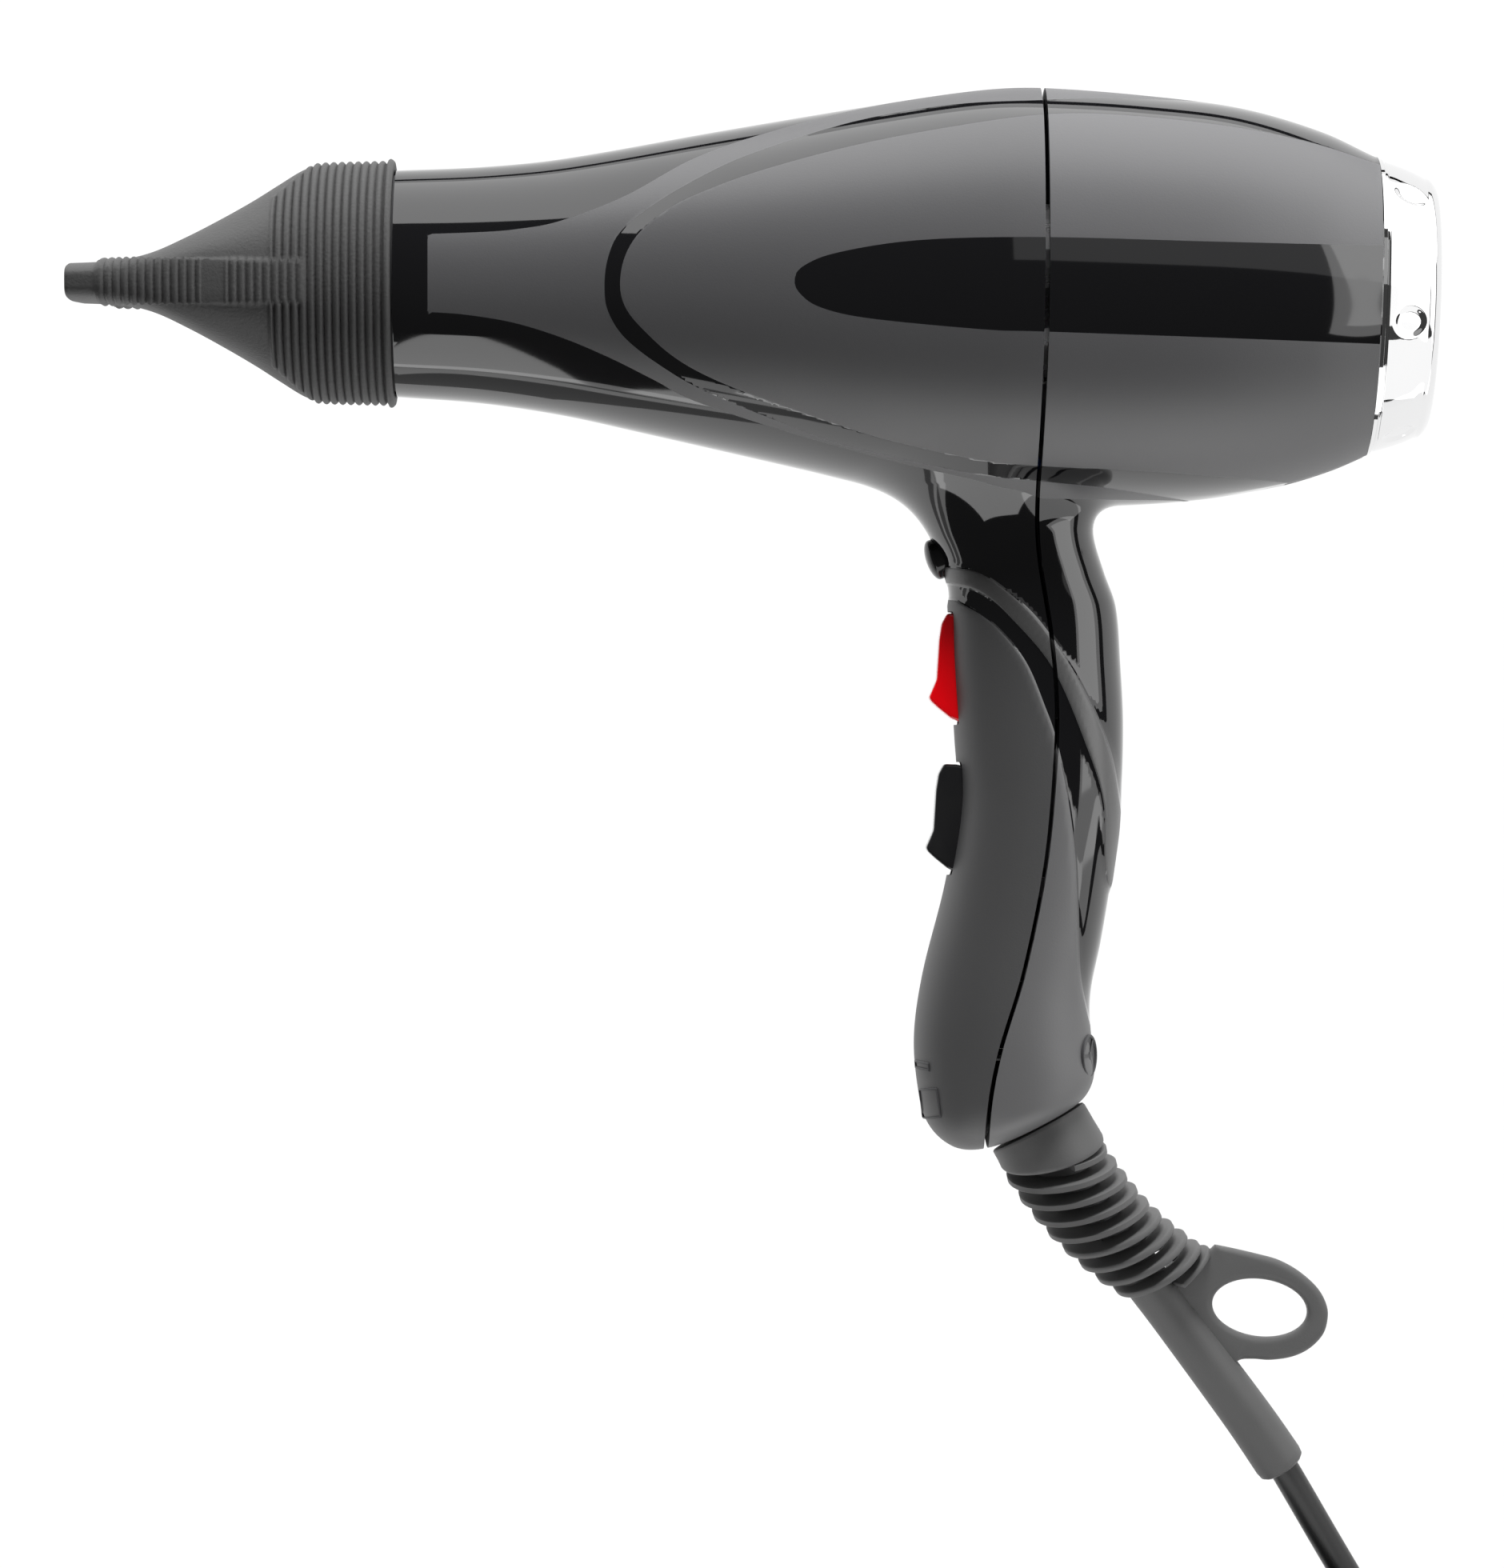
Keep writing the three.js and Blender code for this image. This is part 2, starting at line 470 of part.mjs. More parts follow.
function wiring() {
  add('rectifier_board', box(-12.6, -11, -137.6, -121, -9, 9), 'board');
  add('noise_capacitor', box(-10.7, -5.4, -135, -124, -4, 8), 'copper');
  add('terminal_block', box(-8, 2, -122, -118.2, -9, 9), 'nylon');
  const inside = [[-3.6, -159, -3.6], [-3.7, -156.6, -6.2], [-3, -152.4, -7.9], [-1, -141, -7.8], [-1, -131, -7.4], [-2, -124.8, -4]];
  add('supply_tail', tube(inside, 2.6, 8, 12), 'rubber');
  const clampHole = new THREE.CylinderGeometry(1.5, 1.5, 20, 12).rotateX(Math.PI / 2).translate(-11, -141.5, 0);
  add('cord_clamp', cut(box(-14, 2.4, -144, -139, -4.6, -1.8), solid(clampHole)), 'nylon');
  const clampScrew = new THREE.LatheGeometry(
    [[0, -11], [1.2, -11], [1.2, -1.5], [2.4, -1.5], [2.4, 0], [0, 0]].map(([r, z]) => new THREE.Vector2(r, z)), 12,
  );
  add('clamp_screw', solid(clampScrew.rotateX(Math.PI / 2).translate(-11, -141.5, 0)), 'steel');
  const leads = {
    live_wire: [[7.4, -118, 5], [10.9, -104, 3.4], [10.9, -84, 3.4], [8.4, -64, 3.4], [5, -50, 5], [-4, -30, 8]],
    neutral_wire: [[7.4, -118, -5], [10.9, -104, -3.4], [10.9, -84, -3.4], [8.4, -64, -3.4], [5, -50, -5], [-4, -30, -8]],
    heater_lead: [[-14, -44, 5], [-22, -30, 12], [-28, -18, 18], [-32, -10, 14]],
  };
  for (const [name, points] of Object.entries(leads)) add(name, tube(points, 1, 6, 14), 'wire');
}

// ---------------------------------------------------------------- bend guard with its hanging loop
function bendGuard() {
  const line = new THREE.CatmullRomCurve3(GUARD_LINE.map((q) => new THREE.Vector3(...q)));
  const length = line.getLength();
  const ribs = 9;
  const ribStart = 9.6;
  const ribPitch = 3.85;
  const radiusAt = (s) => {
    const k = (s - ribStart) / ribPitch;
    if (s < 8.2) return s < 0.5 ? 10.2 : 10.6;
    if (k >= 0 && k < ribs) return k % 1 < 0.55 ? 11.2 - 0.19 * k : 6.6;
    if (s < length - 1) return k < 0 ? 6.6 : THREE.MathUtils.lerp(5.3, 5.0, s / length);
    return 4.4;
  };
  // Stations in pairs a hair apart, so that each rib and collar has a square edge.
  const edges = [0, 0.5, 8.2, length - 1, length];
  for (let i = 0; i < ribs; i += 1) edges.push(ribStart + i * ribPitch, ribStart + (i + 0.55) * ribPitch);
  edges.push(ribStart + ribs * ribPitch, 52, 60, 68, 76);
  edges.sort((a, b) => a - b);
  const stations = edges.slice(1, -1).flatMap((s) => [s - 0.05, s + 0.05]);
  stations.unshift(0);
  stations.push(length);
  const body = loft(14, stations.length - 1, (t, angle, share) => {
    const s = Math.max(0.5, stations[Math.round(t * (stations.length - 1))]);
    const at = line.getPointAt(s / length);
    const along = line.getTangentAt(s / length);
    const side = new THREE.Vector3(-along.y, along.x, 0).normalize();
    const up = new THREE.Vector3().crossVectors(side, along);
    const r = share * radiusAt(s);
    return at.addScaledVector(side, r * Math.cos(angle)).addScaledVector(up, r * Math.sin(angle)).toArray();
  });
  const neck = atFoot([[0, -6.5], [8.2, -6.5], [8.2, -4.2], [6.9, -4.2], [6.9, 1], [0, 1], [0, -6.5]], 20);

  // The loop: a flat eye beside the tube, in the plane that the tube runs in.
  const outline = [
    [-10.7, 1], [-12.8, 14], [-8.4, 19.2], [-1.2, 24.3], [6.4, 26.5], [13.2, 24.9], [16.4, 19.6], [15.4, 13.4],
    [11.8, 7.9], [9.8, 1],
  ];
  const eye = { u: 4.1, v: 14.8, a: 9.8, b: 5.8, turn: THREE.MathUtils.degToRad(42) };
  const round = new THREE.SplineCurve(outline.slice(1).map(([u, v]) => new THREE.Vector2(u, v)));
  const shape = new THREE.Shape([new THREE.Vector2(...outline[0]), ...round.getPoints(22)]);
  const rim = Array.from({ length: 22 }, (_, i) => {
    const angle = (2 * Math.PI * i) / 22;
    return new THREE.Vector2(eye.a * Math.cos(angle), eye.b * Math.sin(angle));
  });
  shape.holes.push(new THREE.Path(rim.map((q) => q.rotateAround(new THREE.Vector2(), eye.turn).add(new THREE.Vector2(eye.u, eye.v)))));
  const seat = new THREE.Vector3(30.2, -211.0, -15.5);
  const along = line.getTangentAt(0.66);
  const side = new THREE.Vector3(-along.y, along.x, 0).normalize();
  const frame = new THREE.Matrix4().makeBasis(along, side, new THREE.Vector3().crossVectors(along, side)).setPosition(seat);
  const depth = 5;
  const loop = new THREE.ExtrudeGeometry(shape, { depth, bevelEnabled: false });
  add('bend_guard', union(body, neck, solid(loop.translate(0, 0, -depth / 2).applyMatrix4(frame))), 'rubber');
}

// ---------------------------------------------------------------- cord, coil and plug
function cordAndPlug() {
  const coilEntry = THREE.MathUtils.degToRad(30);
  const entry = [COIL.x + COIL.outer * Math.cos(coilEntry), COIL.y + COIL.outer * Math.sin(coilEntry)];
  const lead = [CORD_START, ...CORD_LEAD, [entry[0] - 0.4, entry[1] + 3.2, TABLE_Z + CORD_R]];
  const ringShape = (inner, outer, height) =>
    solid(
      new THREE.LatheGeometry(
        [[inner, 0], [outer, 0], [outer, height], [inner, height], [inner, 0]].map(([r, h]) => new THREE.Vector2(r, h)),
        32,
      )
        .rotateX(Math.PI / 2)
        .translate(COIL.x, COIL.y, TABLE_Z),
    );
  const height = COIL.layers * 2 * CORD_R;
  const coil = ringShape(COIL.inner - CORD_R, COIL.outer + CORD_R, height);
  // The lead lies against the coil's outer turn, so the ring gives way to it there.
  const leadSolid = tube(lead, CORD_R, 8, 20);
  const leadRoom = tube([...lead.slice(0, -1), [entry[0], entry[1] + 2.2, TABLE_Z + CORD_R]], CORD_R + 0.5, 8, 20);
  add('cord_lead', leadSolid, 'rubber', cordSet);
  const tie = union(
    box(COIL.x - 3, COIL.x + 3, COIL.y + 18.2, COIL.y + 20.2, TABLE_Z, TABLE_Z + height + 2.4),
    box(COIL.x - 3, COIL.x + 3, COIL.y + 18.2, COIL.y + 47.6, TABLE_Z + height + 0.4, TABLE_Z + height + 2.4),
    box(COIL.x - 3, COIL.x + 3, COIL.y + 45.4, COIL.y + 47.6, TABLE_Z, TABLE_Z + height + 2.4),
  );
  add('cord_tie', tie, 'nylon', cordSet);
  const tailTop = TABLE_Z + height - CORD_R;
  const tail = [
    [COIL.x - 14, PLUG.y, tailTop - 0.4], [COIL.x - 26, PLUG.y, tailTop - 1.6], [COIL.x - 38, PLUG.y, PLUG.z + 0.3],
    [PLUG.x + 9.4, PLUG.y, PLUG.z],
  ];
  const tailRoom = box(COIL.x - 30, COIL.x - 13.4, PLUG.y - 4, PLUG.y + 4, tailTop - 5.2, tailTop + 4);
  add('cord_coil', largest(cut(coil, leadRoom, tailRoom)), 'rubber', cordSet);
  add('cord_tail', tube(tail, CORD_R, 8, 14), 'rubber', cordSet);

  // The plug lies flat, with its two pins pointing away from the coil.
  const plugRadius = smooth([[0, 4.6], [14, 5.2], [22, 9], [30, 12.6], [44, 13.2], [47, 12.4]]);
  const plugWidth = smooth([[0, 4.6], [14, 5.6], [22, 12], [30, 16.6], [44, 17.4], [47, 16.6]]);
  const body = loft(18, 9, (t, angle, share) => {
    const s = 47 * t;
    const [y, z] = superellipse(angle, share * plugWidth(s), share * plugRadius(s), 2.6);
    return [PLUG.x + 9 - s, PLUG.y + y, PLUG.z + z];
  });
  const face = PLUG.x + 9 - 47;
  const pins = [-1, 1].map((k) => PLUG.y + (k * PLUG.pinPitch) / 2);
  add('plug_body', cut(body, ...pins.map((y) => bar(face - 2, face + 9, y, PLUG.z, PLUG.pinR + GAP, 16))), 'rubber', cordSet);
  pins.forEach((y, i) => {
    add(`plug_pin_${i + 1}`, bar(face - 19, face + 8.6, y, PLUG.z, PLUG.pinR, 16), 'steel', cordSet);
  });
}

housings();
airPath();
motorAndFan();
filterCap();
nozzle();
controls();
wiring();
bendGuard();
cordAndPlug();

// The part's origin is under the middle of the dryer, on the table that it lies on.
const part = new THREE.Group();
part.add(dryer, cordSet);
part.position.set(...MIDDLE.map((v) => -v), -TABLE_Z);

export default part;
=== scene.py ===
"""A black salon hair dryer lying on its side on a white table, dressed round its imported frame.

Shapes are drawn in millimetres in the dryer's own drawing space: X along the barrel from the nozzle to the
inlet, Y from the foot of the handle to the top of the barrel, Z up from the dryer's middle plane, with the
origin where the housing seam crosses the barrel's axis. row() turns that space into the frame's metres.
"""

import math

import bmesh
import bpy
import numpy as np
from mathutils import Matrix, Vector


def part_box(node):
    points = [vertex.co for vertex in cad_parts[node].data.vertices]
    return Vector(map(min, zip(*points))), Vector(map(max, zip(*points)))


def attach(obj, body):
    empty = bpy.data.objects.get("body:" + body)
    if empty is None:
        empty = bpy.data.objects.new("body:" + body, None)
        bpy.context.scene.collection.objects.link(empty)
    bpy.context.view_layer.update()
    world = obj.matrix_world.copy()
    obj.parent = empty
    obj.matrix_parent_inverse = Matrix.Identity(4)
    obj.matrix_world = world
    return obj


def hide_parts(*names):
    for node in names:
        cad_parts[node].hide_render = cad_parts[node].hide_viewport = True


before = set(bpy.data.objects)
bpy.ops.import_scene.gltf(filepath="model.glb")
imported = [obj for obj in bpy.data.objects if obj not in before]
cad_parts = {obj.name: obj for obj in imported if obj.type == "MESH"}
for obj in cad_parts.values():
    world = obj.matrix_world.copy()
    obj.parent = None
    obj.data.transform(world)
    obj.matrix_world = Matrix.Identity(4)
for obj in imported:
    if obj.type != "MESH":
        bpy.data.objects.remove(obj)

# The nozzle's tip and the barrel's axis in drawing space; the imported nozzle's box then places the origin.
NOZZLE_TIP_X = -193.0
AXIS_Y = 0.6
nozzle_low, nozzle_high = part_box("nozzle")
ORIGIN = np.array(
    [
        nozzle_low[0] * 1000 - NOZZLE_TIP_X,
        (nozzle_low[1] + nozzle_high[1]) * 500 - AXIS_Y,
        (nozzle_low[2] + nozzle_high[2]) * 500,
    ]
)
TABLE_Z = -ORIGIN[2]

# The camera looks straight down from EYE_HEIGHT above the middle plane.
EYE_HEIGHT = 1500
VIEW_CENTRE = (-58.1, -99.5)
VIEW_TALL = 313.6

SEAM_GAP = 0.9
WALL = 2.2
SKIN_STEP = 0.96
OUTLET = {"front": -144, "shoulder": -129.0, "outer": 21.6, "bore": 19.6}
INLET_SEAT = (65.4, -4.0, 0)
INLET_TILT = math.radians(2.05)
INLET_AXIS = (math.cos(INLET_TILT), -math.sin(INLET_TILT), 0)
# The handle's finishes give way to the barrel's at this height.
HANDLE_TOP = -43
# How far the raised finishes stand out of the smooth form.
PANEL_RISE = 0.75
GRIP_RISE = 0.45
BAND_RISE = 0.4
# The handle's end is flat as far as this point, and slants from there on the side the cord leaves.
FOOT = (-10.4, -172.8)
FOOT_SLANT = (0.483, 0.876)
CORD_R = 3.0


def row(points):
    """Drawing space in millimetres to the frame's metres."""
    return (np.asarray(points, float) + ORIGIN) / 1000


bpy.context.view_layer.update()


# ---------------------------------------------------------------- curves and outlines
def unit(vectors):
    """The vectors in each row, made one long."""
    return vectors / np.linalg.norm(vectors, axis=1)[:, None]


def circle(count):
    """Cosines and sines of evenly spaced angles."""
    angle = np.linspace(0, 2 * np.pi, count, endpoint=False)
    return np.cos(angle), np.sin(angle)


def squared(value, power):
    """A cosine or sine drawn out toward a superellipse of that power."""
    return np.sign(value) * np.abs(value) ** (2 / power)


def length_along(line):
    """Distance along a line to each of its points."""
    return np.concatenate([[0], np.cumsum(np.linalg.norm(np.diff(line, axis=0), axis=1))])


def smooth(points):
    """A smooth function through (x, y) points in order of x, constant beyond its ends."""
    x, y = np.array(points, float).T
    slope = np.empty_like(y)
    slope[1:-1] = (y[2:] - y[:-2]) / (x[2:] - x[:-2])
    slope[0] = (y[1] - y[0]) / (x[1] - x[0])
    slope[-1] = (y[-1] - y[-2]) / (x[-1] - x[-2])

    def value(at):
        at = np.clip(at, x[0], x[-1])
        i = np.clip(np.searchsorted(x, at) - 1, 0, len(x) - 2)
        step = x[i + 1] - x[i]
        t = (at - x[i]) / step
        ease = t * t * (3 - 2 * t)
        bow = step * t * (1 - t)
        return y[i] + (y[i + 1] - y[i]) * ease + bow * ((1 - t) * slope[i] - t * slope[i + 1])

    return value


def spline(points, per_span=12, closed=False):
    """Points along a Catmull-Rom line through the given ones."""
    p = np.array(points, float)
    if closed:
        p = np.vstack([p[-1], p, p[0], p[1]])
    else:
        p = np.vstack([2 * p[0] - p[1], p, 2 * p[-1] - p[-2]])
    t = np.arange(per_span)[:, None] / per_span
    spans = []
    for a, b, c, d in zip(p[:-3], p[1:-2], p[2:-1], p[3:]):
        square, cube = 2 * a - 5 * b + 4 * c - d, 3 * b - a - 3 * c + d
        spans.append(0.5 * (2 * b + (c - a) * t + square * t**2 + cube * t**3))
    line = np.vstack(spans)
    return line if closed else np.vstack([line, p[-2]])


def evenly(line, count):
    """The same line again with its points evenly spaced."""
    along = length_along(line)
    at = np.linspace(0, along[-1], count)
    return np.stack([np.interp(at, along, line[:, k]) for k in range(line.shape[1])], axis=1)


def outline_distance(outline, x, y):
    """Distance in the X-Y plane from each point to a closed outline, negative inside it."""
    best = np.full(x.shape, 1e9)
    inside = np.zeros(x.shape, bool)
    for (ax, ay), (bx, by) in zip(outline, np.roll(outline, -1, axis=0)):
        ex, ey = bx - ax, by - ay
        t = np.clip(((x - ax) * ex + (y - ay) * ey) / (ex * ex + ey * ey + 1e-12), 0, 1)
        best = np.minimum(best, (x - ax - t * ex) ** 2 + (y - ay - t * ey) ** 2)
        crosses = (ay > y) != (by > y)
        inside ^= crosses & (x < ax + ex * (y - ay) / (ey if ey else 1e-12))
    return np.where(inside, -1, 1) * np.sqrt(best)


class Chart:
    """A function of X and Y sampled once over the dryer's side, and read back by interpolation."""

    def __init__(self, field, step=0.5, low=(-140, -185), high=(80, 50)):
        self.step = step
        self.low = low
        xs = np.arange(low[0], high[0], step)
        ys = np.arange(low[1], high[1], step)
        gx, gy = np.meshgrid(xs, ys, indexing="ij")
        self.values = field(gx, gy)

    def __call__(self, x, y):
        u = np.clip((x - self.low[0]) / self.step, 0, self.values.shape[0] - 1.001)
        v = np.clip((y - self.low[1]) / self.step, 0, self.values.shape[1] - 1.001)
        i, j = u.astype(int), v.astype(int)
        u, v = u - i, v - j
        q = self.values
        below = q[i, j] * (1 - u) + q[i + 1, j] * u
        above = q[i, j + 1] * (1 - u) + q[i + 1, j + 1] * u
        return below * (1 - v) + above * v


# ---------------------------------------------------------------- the housing's form
barrel_top = smooth(
    [(-129, 23.1), (-112, 23.8), (-96, 25.4), (-64, 31.0), (-32, 36.3), (-12, 39.1), (0, 39.5), (24, 37.6),
     (40, 35.3), (56, 30.5), (66, 25.6)]
)
barrel_bottom = smooth(
    [(-129, -22.1), (-112, -23.4), (-96, -25.8), (-80, -29.3), (-48, -36.6), (-32, -40.3), (-8, -43.6),
     (10, -44.0), (32, -42.6), (48, -39.6), (58, -36.6), (66, -33.2)]
)
barrel_side = smooth(
    [(-129, 22.6), (-96, 25.3), (-48, 33.7), (-10, 37.8), (6, 37.9), (32, 36.8), (52, 33.2), (66, 29.0)]
)
grip_front = smooth(
    [(-176, -21.2), (-164, -23.9), (-151, -25.3), (-138, -23.7), (-119, -19.0), (-103, -16.6), (-90, -17.2),
     (-75, -18.2), (-64, -18.6), (-57, -19.4), (-50, -21.4), (-40, -22.6)]
)
grip_rear = smooth(
    [(-176, 8.6), (-158, 9.9), (-150, 9.4), (-141, 9.6), (-131, 11.6), (-119, 13.6), (-104, 15.5),
     (-88, 16.1), (-75, 15.5), (-64, 14.6), (-57, 12.2), (-50, 10.2), (-40, 9.6)]
)
grip_side = smooth(
    [(-172, 14.6), (-150, 16.2), (-125, 15.2), (-100, 14.6), (-75, 14.6), (-57, 14.0), (-45, 14.0)]
)
seam = smooth(
    [(-180, -11.6), (-165, -11.2), (-153, -9.1), (-137, -4.3), (-116, 0.0), (-97, 1.9), (-84, 2.3),
     (-70, 1.2), (-54, -1.2), (-44, -1.6), (-10, -0.6), (45, -0.1)]
)

# Outlines on the side of the housing, drawn as they look from EYE_HEIGHT above the middle plane.
PANEL = [
    (-84.5, 0.4), (-83.6, 5.8), (-80.8, 10.6), (-76.0, 14.7), (-70.4, 17.9), (-57.3, 22.9), (-37.8, 28.2),
    (-18.0, 32.0), (0, 34.4), (16, 34.3), (37.6, 32.0), (54.4, 28.6), (68, 24.2), (84, 20), (84, -50),
    (62, -41.2), (49.6, -39.4), (30, -37.6), (13.9, -36.6), (-0.8, -35.9), (-13, -34.6), (-31.2, -30.6),
    (-47.5, -25.4), (-63.8, -19.4), (-73.3, -14.4), (-80.2, -8.3), (-83.5, -4.0),
]
BEVEL = [
    (-87.6, -0.4), (-87.0, 5.4), (-84.4, 11.0), (-77.5, 16.6), (-67.5, 22.4), (-57.3, 26.9),
    (-37.8, 33.0), (-18.0, 36.4), (0, 37.3), (16, 37.6), (38.7, 36.4), (52, 33.2), (68, 27), (88, 22),
    (88, -56), (62, -50), (49.6, -46.4), (30, -43.0), (13.9, -40.4), (-0.8, -38.9), (-14.9, -37.3),
    (-39, -31.9), (-50.7, -27.8), (-67, -21.2), (-76.3, -15.9), (-83.4, -10.4), (-86.8, -5.2),
]
SWOOSH = [
    (-123, 10.4), (-123, 10.5), (-112, 10.9), (-105, 11.5), (-96.5, 13.1), (-83.5, 18.1),
    (-70.4, 25.3), (-57.3, 30.1), (-38.9, 35.0), (-20, 38.6), (-4, 42), (30, 42), (30, -46), (-4, -41),
    (-14, -38.6), (-30, -34.9), (-50, -29.4), (-69.3, -23.0), (-77.3, -18.9), (-86.9, -14.1),
    (-96.5, -10.1), (-106, -7.2), (-115.7, -5.6), (-123, -5.1), (-123, -5.0),
]
INLAY = [
    (-49.6, 1.2), (-48.0, 4.0), (-41, 6.8), (-24.6, 9.3), (0, 9.9), (34, 9.0), (67, 8.2), (80, 8),
    (80, -12), (67, -11.5), (34, -10.2), (0, -9.0), (-11.5, -8.6), (-34.4, -6.4), (-44.3, -4.2),
    (-48.4, -1.5),
]
GRIP = [
    (-30, -62.4), (-18.6, -62.7), (-16.3, -63.4), (-9.9, -67.5), (-3.7, -74.9), (0.3, -84.2), (2.6, -90.9),
    (5.2, -102.9), (6.6, -114.4), (7.0, -125.1), (7.3, -136.6), (8.6, -144.0), (10.6, -150.6), (16, -162),
    (16, -180), (-40, -180), (-40, -62.4),
]
BAND = [
    (-30, -55.2), (-18.6, -56.2), (-12, -57.6), (-4, -63.6), (1.4, -69.8), (7.7, -79.4), (13, -91.5),
    (15.2, -101.8), (16.5, -112), (18, -124), (13.2, -119), (12.3, -103.6), (8.6, -91.4), (2.1, -76.4),
    (-6, -66.6), (-12, -61.4), (-18.6, -59.4), (-30, -58.6),
]
OUTLINES = {"panel": PANEL, "bevel": BEVEL, "swoosh": SWOOSH, "inlay": INLAY, "grip": GRIP, "band": BAND}


def chart_of(points):
    outline = spline(points, 6, closed=True)
    return Chart(lambda x, y: outline_distance(outline, x, y))


charts = {name: chart_of(points) for name, points in OUTLINES.items()}


def as_seen(p):
    """X and Y of points as they look from straight above or below the dryer's side."""
    grow = EYE_HEIGHT / (EYE_HEIGHT - np.abs(p[:, 2]))
    x = VIEW_CENTRE[0] + (p[:, 0] - VIEW_CENTRE[0]) * grow
    y = VIEW_CENTRE[1] + (p[:, 1] - VIEW_CENTRE[1]) * grow
    return x, y


def from_view(seen, z):
    """Points at heights z that look, from the camera, as if they lay at these X and Y on the middle plane."""
    seen = np.asarray(seen, float)
    z = np.broadcast_to(z, (len(seen),))
    flat = np.array(VIEW_CENTRE) + (seen - VIEW_CENTRE) * (1 - z / EYE_HEIGHT)[:, None]
    return np.column_stack([flat, z])


def ramp(x, start, end):
    """0 before start, 1 after end, with rounded corners."""
    t = np.clip((x - start) / (end - start), 0, 1)
    return t * t * (3 - 2 * t)


def superellipse_gap(a, b, half_a, half_b, power):
    """Distance along the ray from the centre to a superellipse, negative inside it."""
    r = np.hypot(a, b) + 1e-9
    q = ((np.abs(a) / half_a) ** power + (np.abs(b) / half_b) ** power) ** (1 / power) + 1e-9
    return r * (1 - 1 / q)


def soft_min(a, b, k):
    h = np.clip(0.5 + 0.5 * (b - a) / k, 0, 1)
    return b + (a - b) * h - k * h * (1 - h)


def soft_max(a, b, k):
    return -soft_min(-a, -b, k)


def relief(p):
    """How far the raised panel, the swoosh band and the grip stand out of the smooth form."""
    x, y = as_seen(p)
    inner = charts["panel"](x, y)
    outer = charts["bevel"](x, y)
    across = np.clip(inner / np.maximum(inner - outer, 0.2), 0, 1)
    panel = PANEL_RISE * (1 - across)
    side = ramp(np.abs(p[:, 2]), 1.5, 8)
    barrel = ramp(p[:, 1], -46, -40)
    grip = GRIP_RISE * ramp(-charts["grip"](x, y), -1.0, 1.4)
    band = BAND_RISE * ramp(-charts["band"](x, y), -1.2, 1.0) * ramp(-p[:, 1], 50, 54)
    return panel * side * barrel + (grip + band) * (1 - barrel)


def form(p):
    """Distance outside the housing's outer skin, before it is cut at its ends and seam."""
    x, y, z = p.T
    top, bottom, side = barrel_top(x), barrel_bottom(x), barrel_side(x)
    barrel = superellipse_gap(y - (top + bottom) / 2, z, (top - bottom) / 2, side, 2.1)
    front, rear, half = grip_front(y), grip_rear(y), grip_side(y)
    grip = superellipse_gap(x - (front + rear) / 2, z, (rear - front) / 2, half, 2.35)
    grip = soft_max(grip, y + 12, 4)
    grip = soft_max(grip, FOOT[1] - y, 11)
    slant = (x - FOOT[0]) * FOOT_SLANT[0] - (y - FOOT[1]) * FOOT_SLANT[1]
    grip = soft_max(grip, slant, 5)
    fillet = 6 + 10 * ramp(-x, -6, 12)
    return soft_min(barrel, grip, fillet) - relief(p)


def gradient(p, h=0.08):
    steps = np.eye(3) * h
    return np.stack([form(p + s) - form(p - s) for s in steps], axis=1) / (2 * h)


def pull_to_form(p):
    """Moves points along the form's gradient onto its skin."""
    g = gradient(p)
    return p - g * (form(p) / np.maximum((g * g).sum(1), 0.05))[:, None]


# ---------------------------------------------------------------- mesh helpers
def show(name, data):
    """A new object in the scene that holds this data."""
    obj = bpy.data.objects.new(name, data)
    bpy.context.scene.collection.objects.link(obj)
    return obj


def new_object(name, points, faces, metres=True):
    """A mesh object from drawing-space points, laid in the frame unless metres is False."""
    mesh = bpy.data.meshes.new(name)
    co = row(points) if metres else np.asarray(points, float)
    mesh.from_pydata(co.tolist(), [], [tuple(map(int, f)) for f in faces])
    mesh.validate()
    return show(name, mesh)


def settle(obj, material, body, nodes=(), sharp=35):
    """Shades a piece and fixes it to its CAD body."""
    mesh = obj.data
    mesh.materials.clear()
    mesh.materials.append(material)
    mesh.shade_smooth()
    mesh.set_sharp_from_angle(angle=math.radians(sharp))
    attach(obj, body)
    if nodes:
        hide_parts(*nodes)
    return obj


def grid_faces(rows, around, closed_rows=False, first=0):
    faces = []
    for i in range(rows if closed_rows else rows - 1):
        a = first + i * around
        b = first + ((i + 1) % rows) * around
        for j in range(around):
            k = (j + 1) % around
            faces.append((a + j, b + j, b + k, a + k))
    return faces


def grid_object(name, grid, caps=False, closed_rows=False):
    """A mesh from a (rows, around, 3) grid that closes round, with end caps or closed along as well."""
    rows, around, _ = grid.shape
    faces = grid_faces(rows, around, closed_rows)
    if caps:
        faces.append(tuple(range(around)))
        faces.append(tuple(range((rows - 1) * around, rows * around))[::-1])
    obj = new_object(name, grid.reshape(-1, 3), faces)
    fix_normals(obj)
    return obj


def fix_normals(obj):
    bm = bmesh.new()
    bm.from_mesh(obj.data)
    bmesh.ops.recalc_face_normals(bm, faces=bm.faces)
    bm.to_mesh(obj.data)
    bm.free()


def prism(name, near, far, metres=True):
    """A solid between two matching outlines."""
    n = len(near)
    faces = [tuple(range(n))[::-1], tuple(range(n, 2 * n))]
    faces += [(i, (i + 1) % n, n + (i + 1) % n, n + i) for i in range(n)]
    obj = new_object(name, np.vstack([near, far]), faces, metres)
    fix_normals(obj)
    return obj


def join(name, *objects):
    """Several objects made into one."""
    bm = bmesh.new()
    for obj in objects:
        bm.from_mesh(obj.data)
    mesh = bpy.data.meshes.new(name)
    bm.to_mesh(mesh)
    bm.free()
    for obj in objects:
        bpy.data.objects.remove(obj)
    return show(name, mesh)


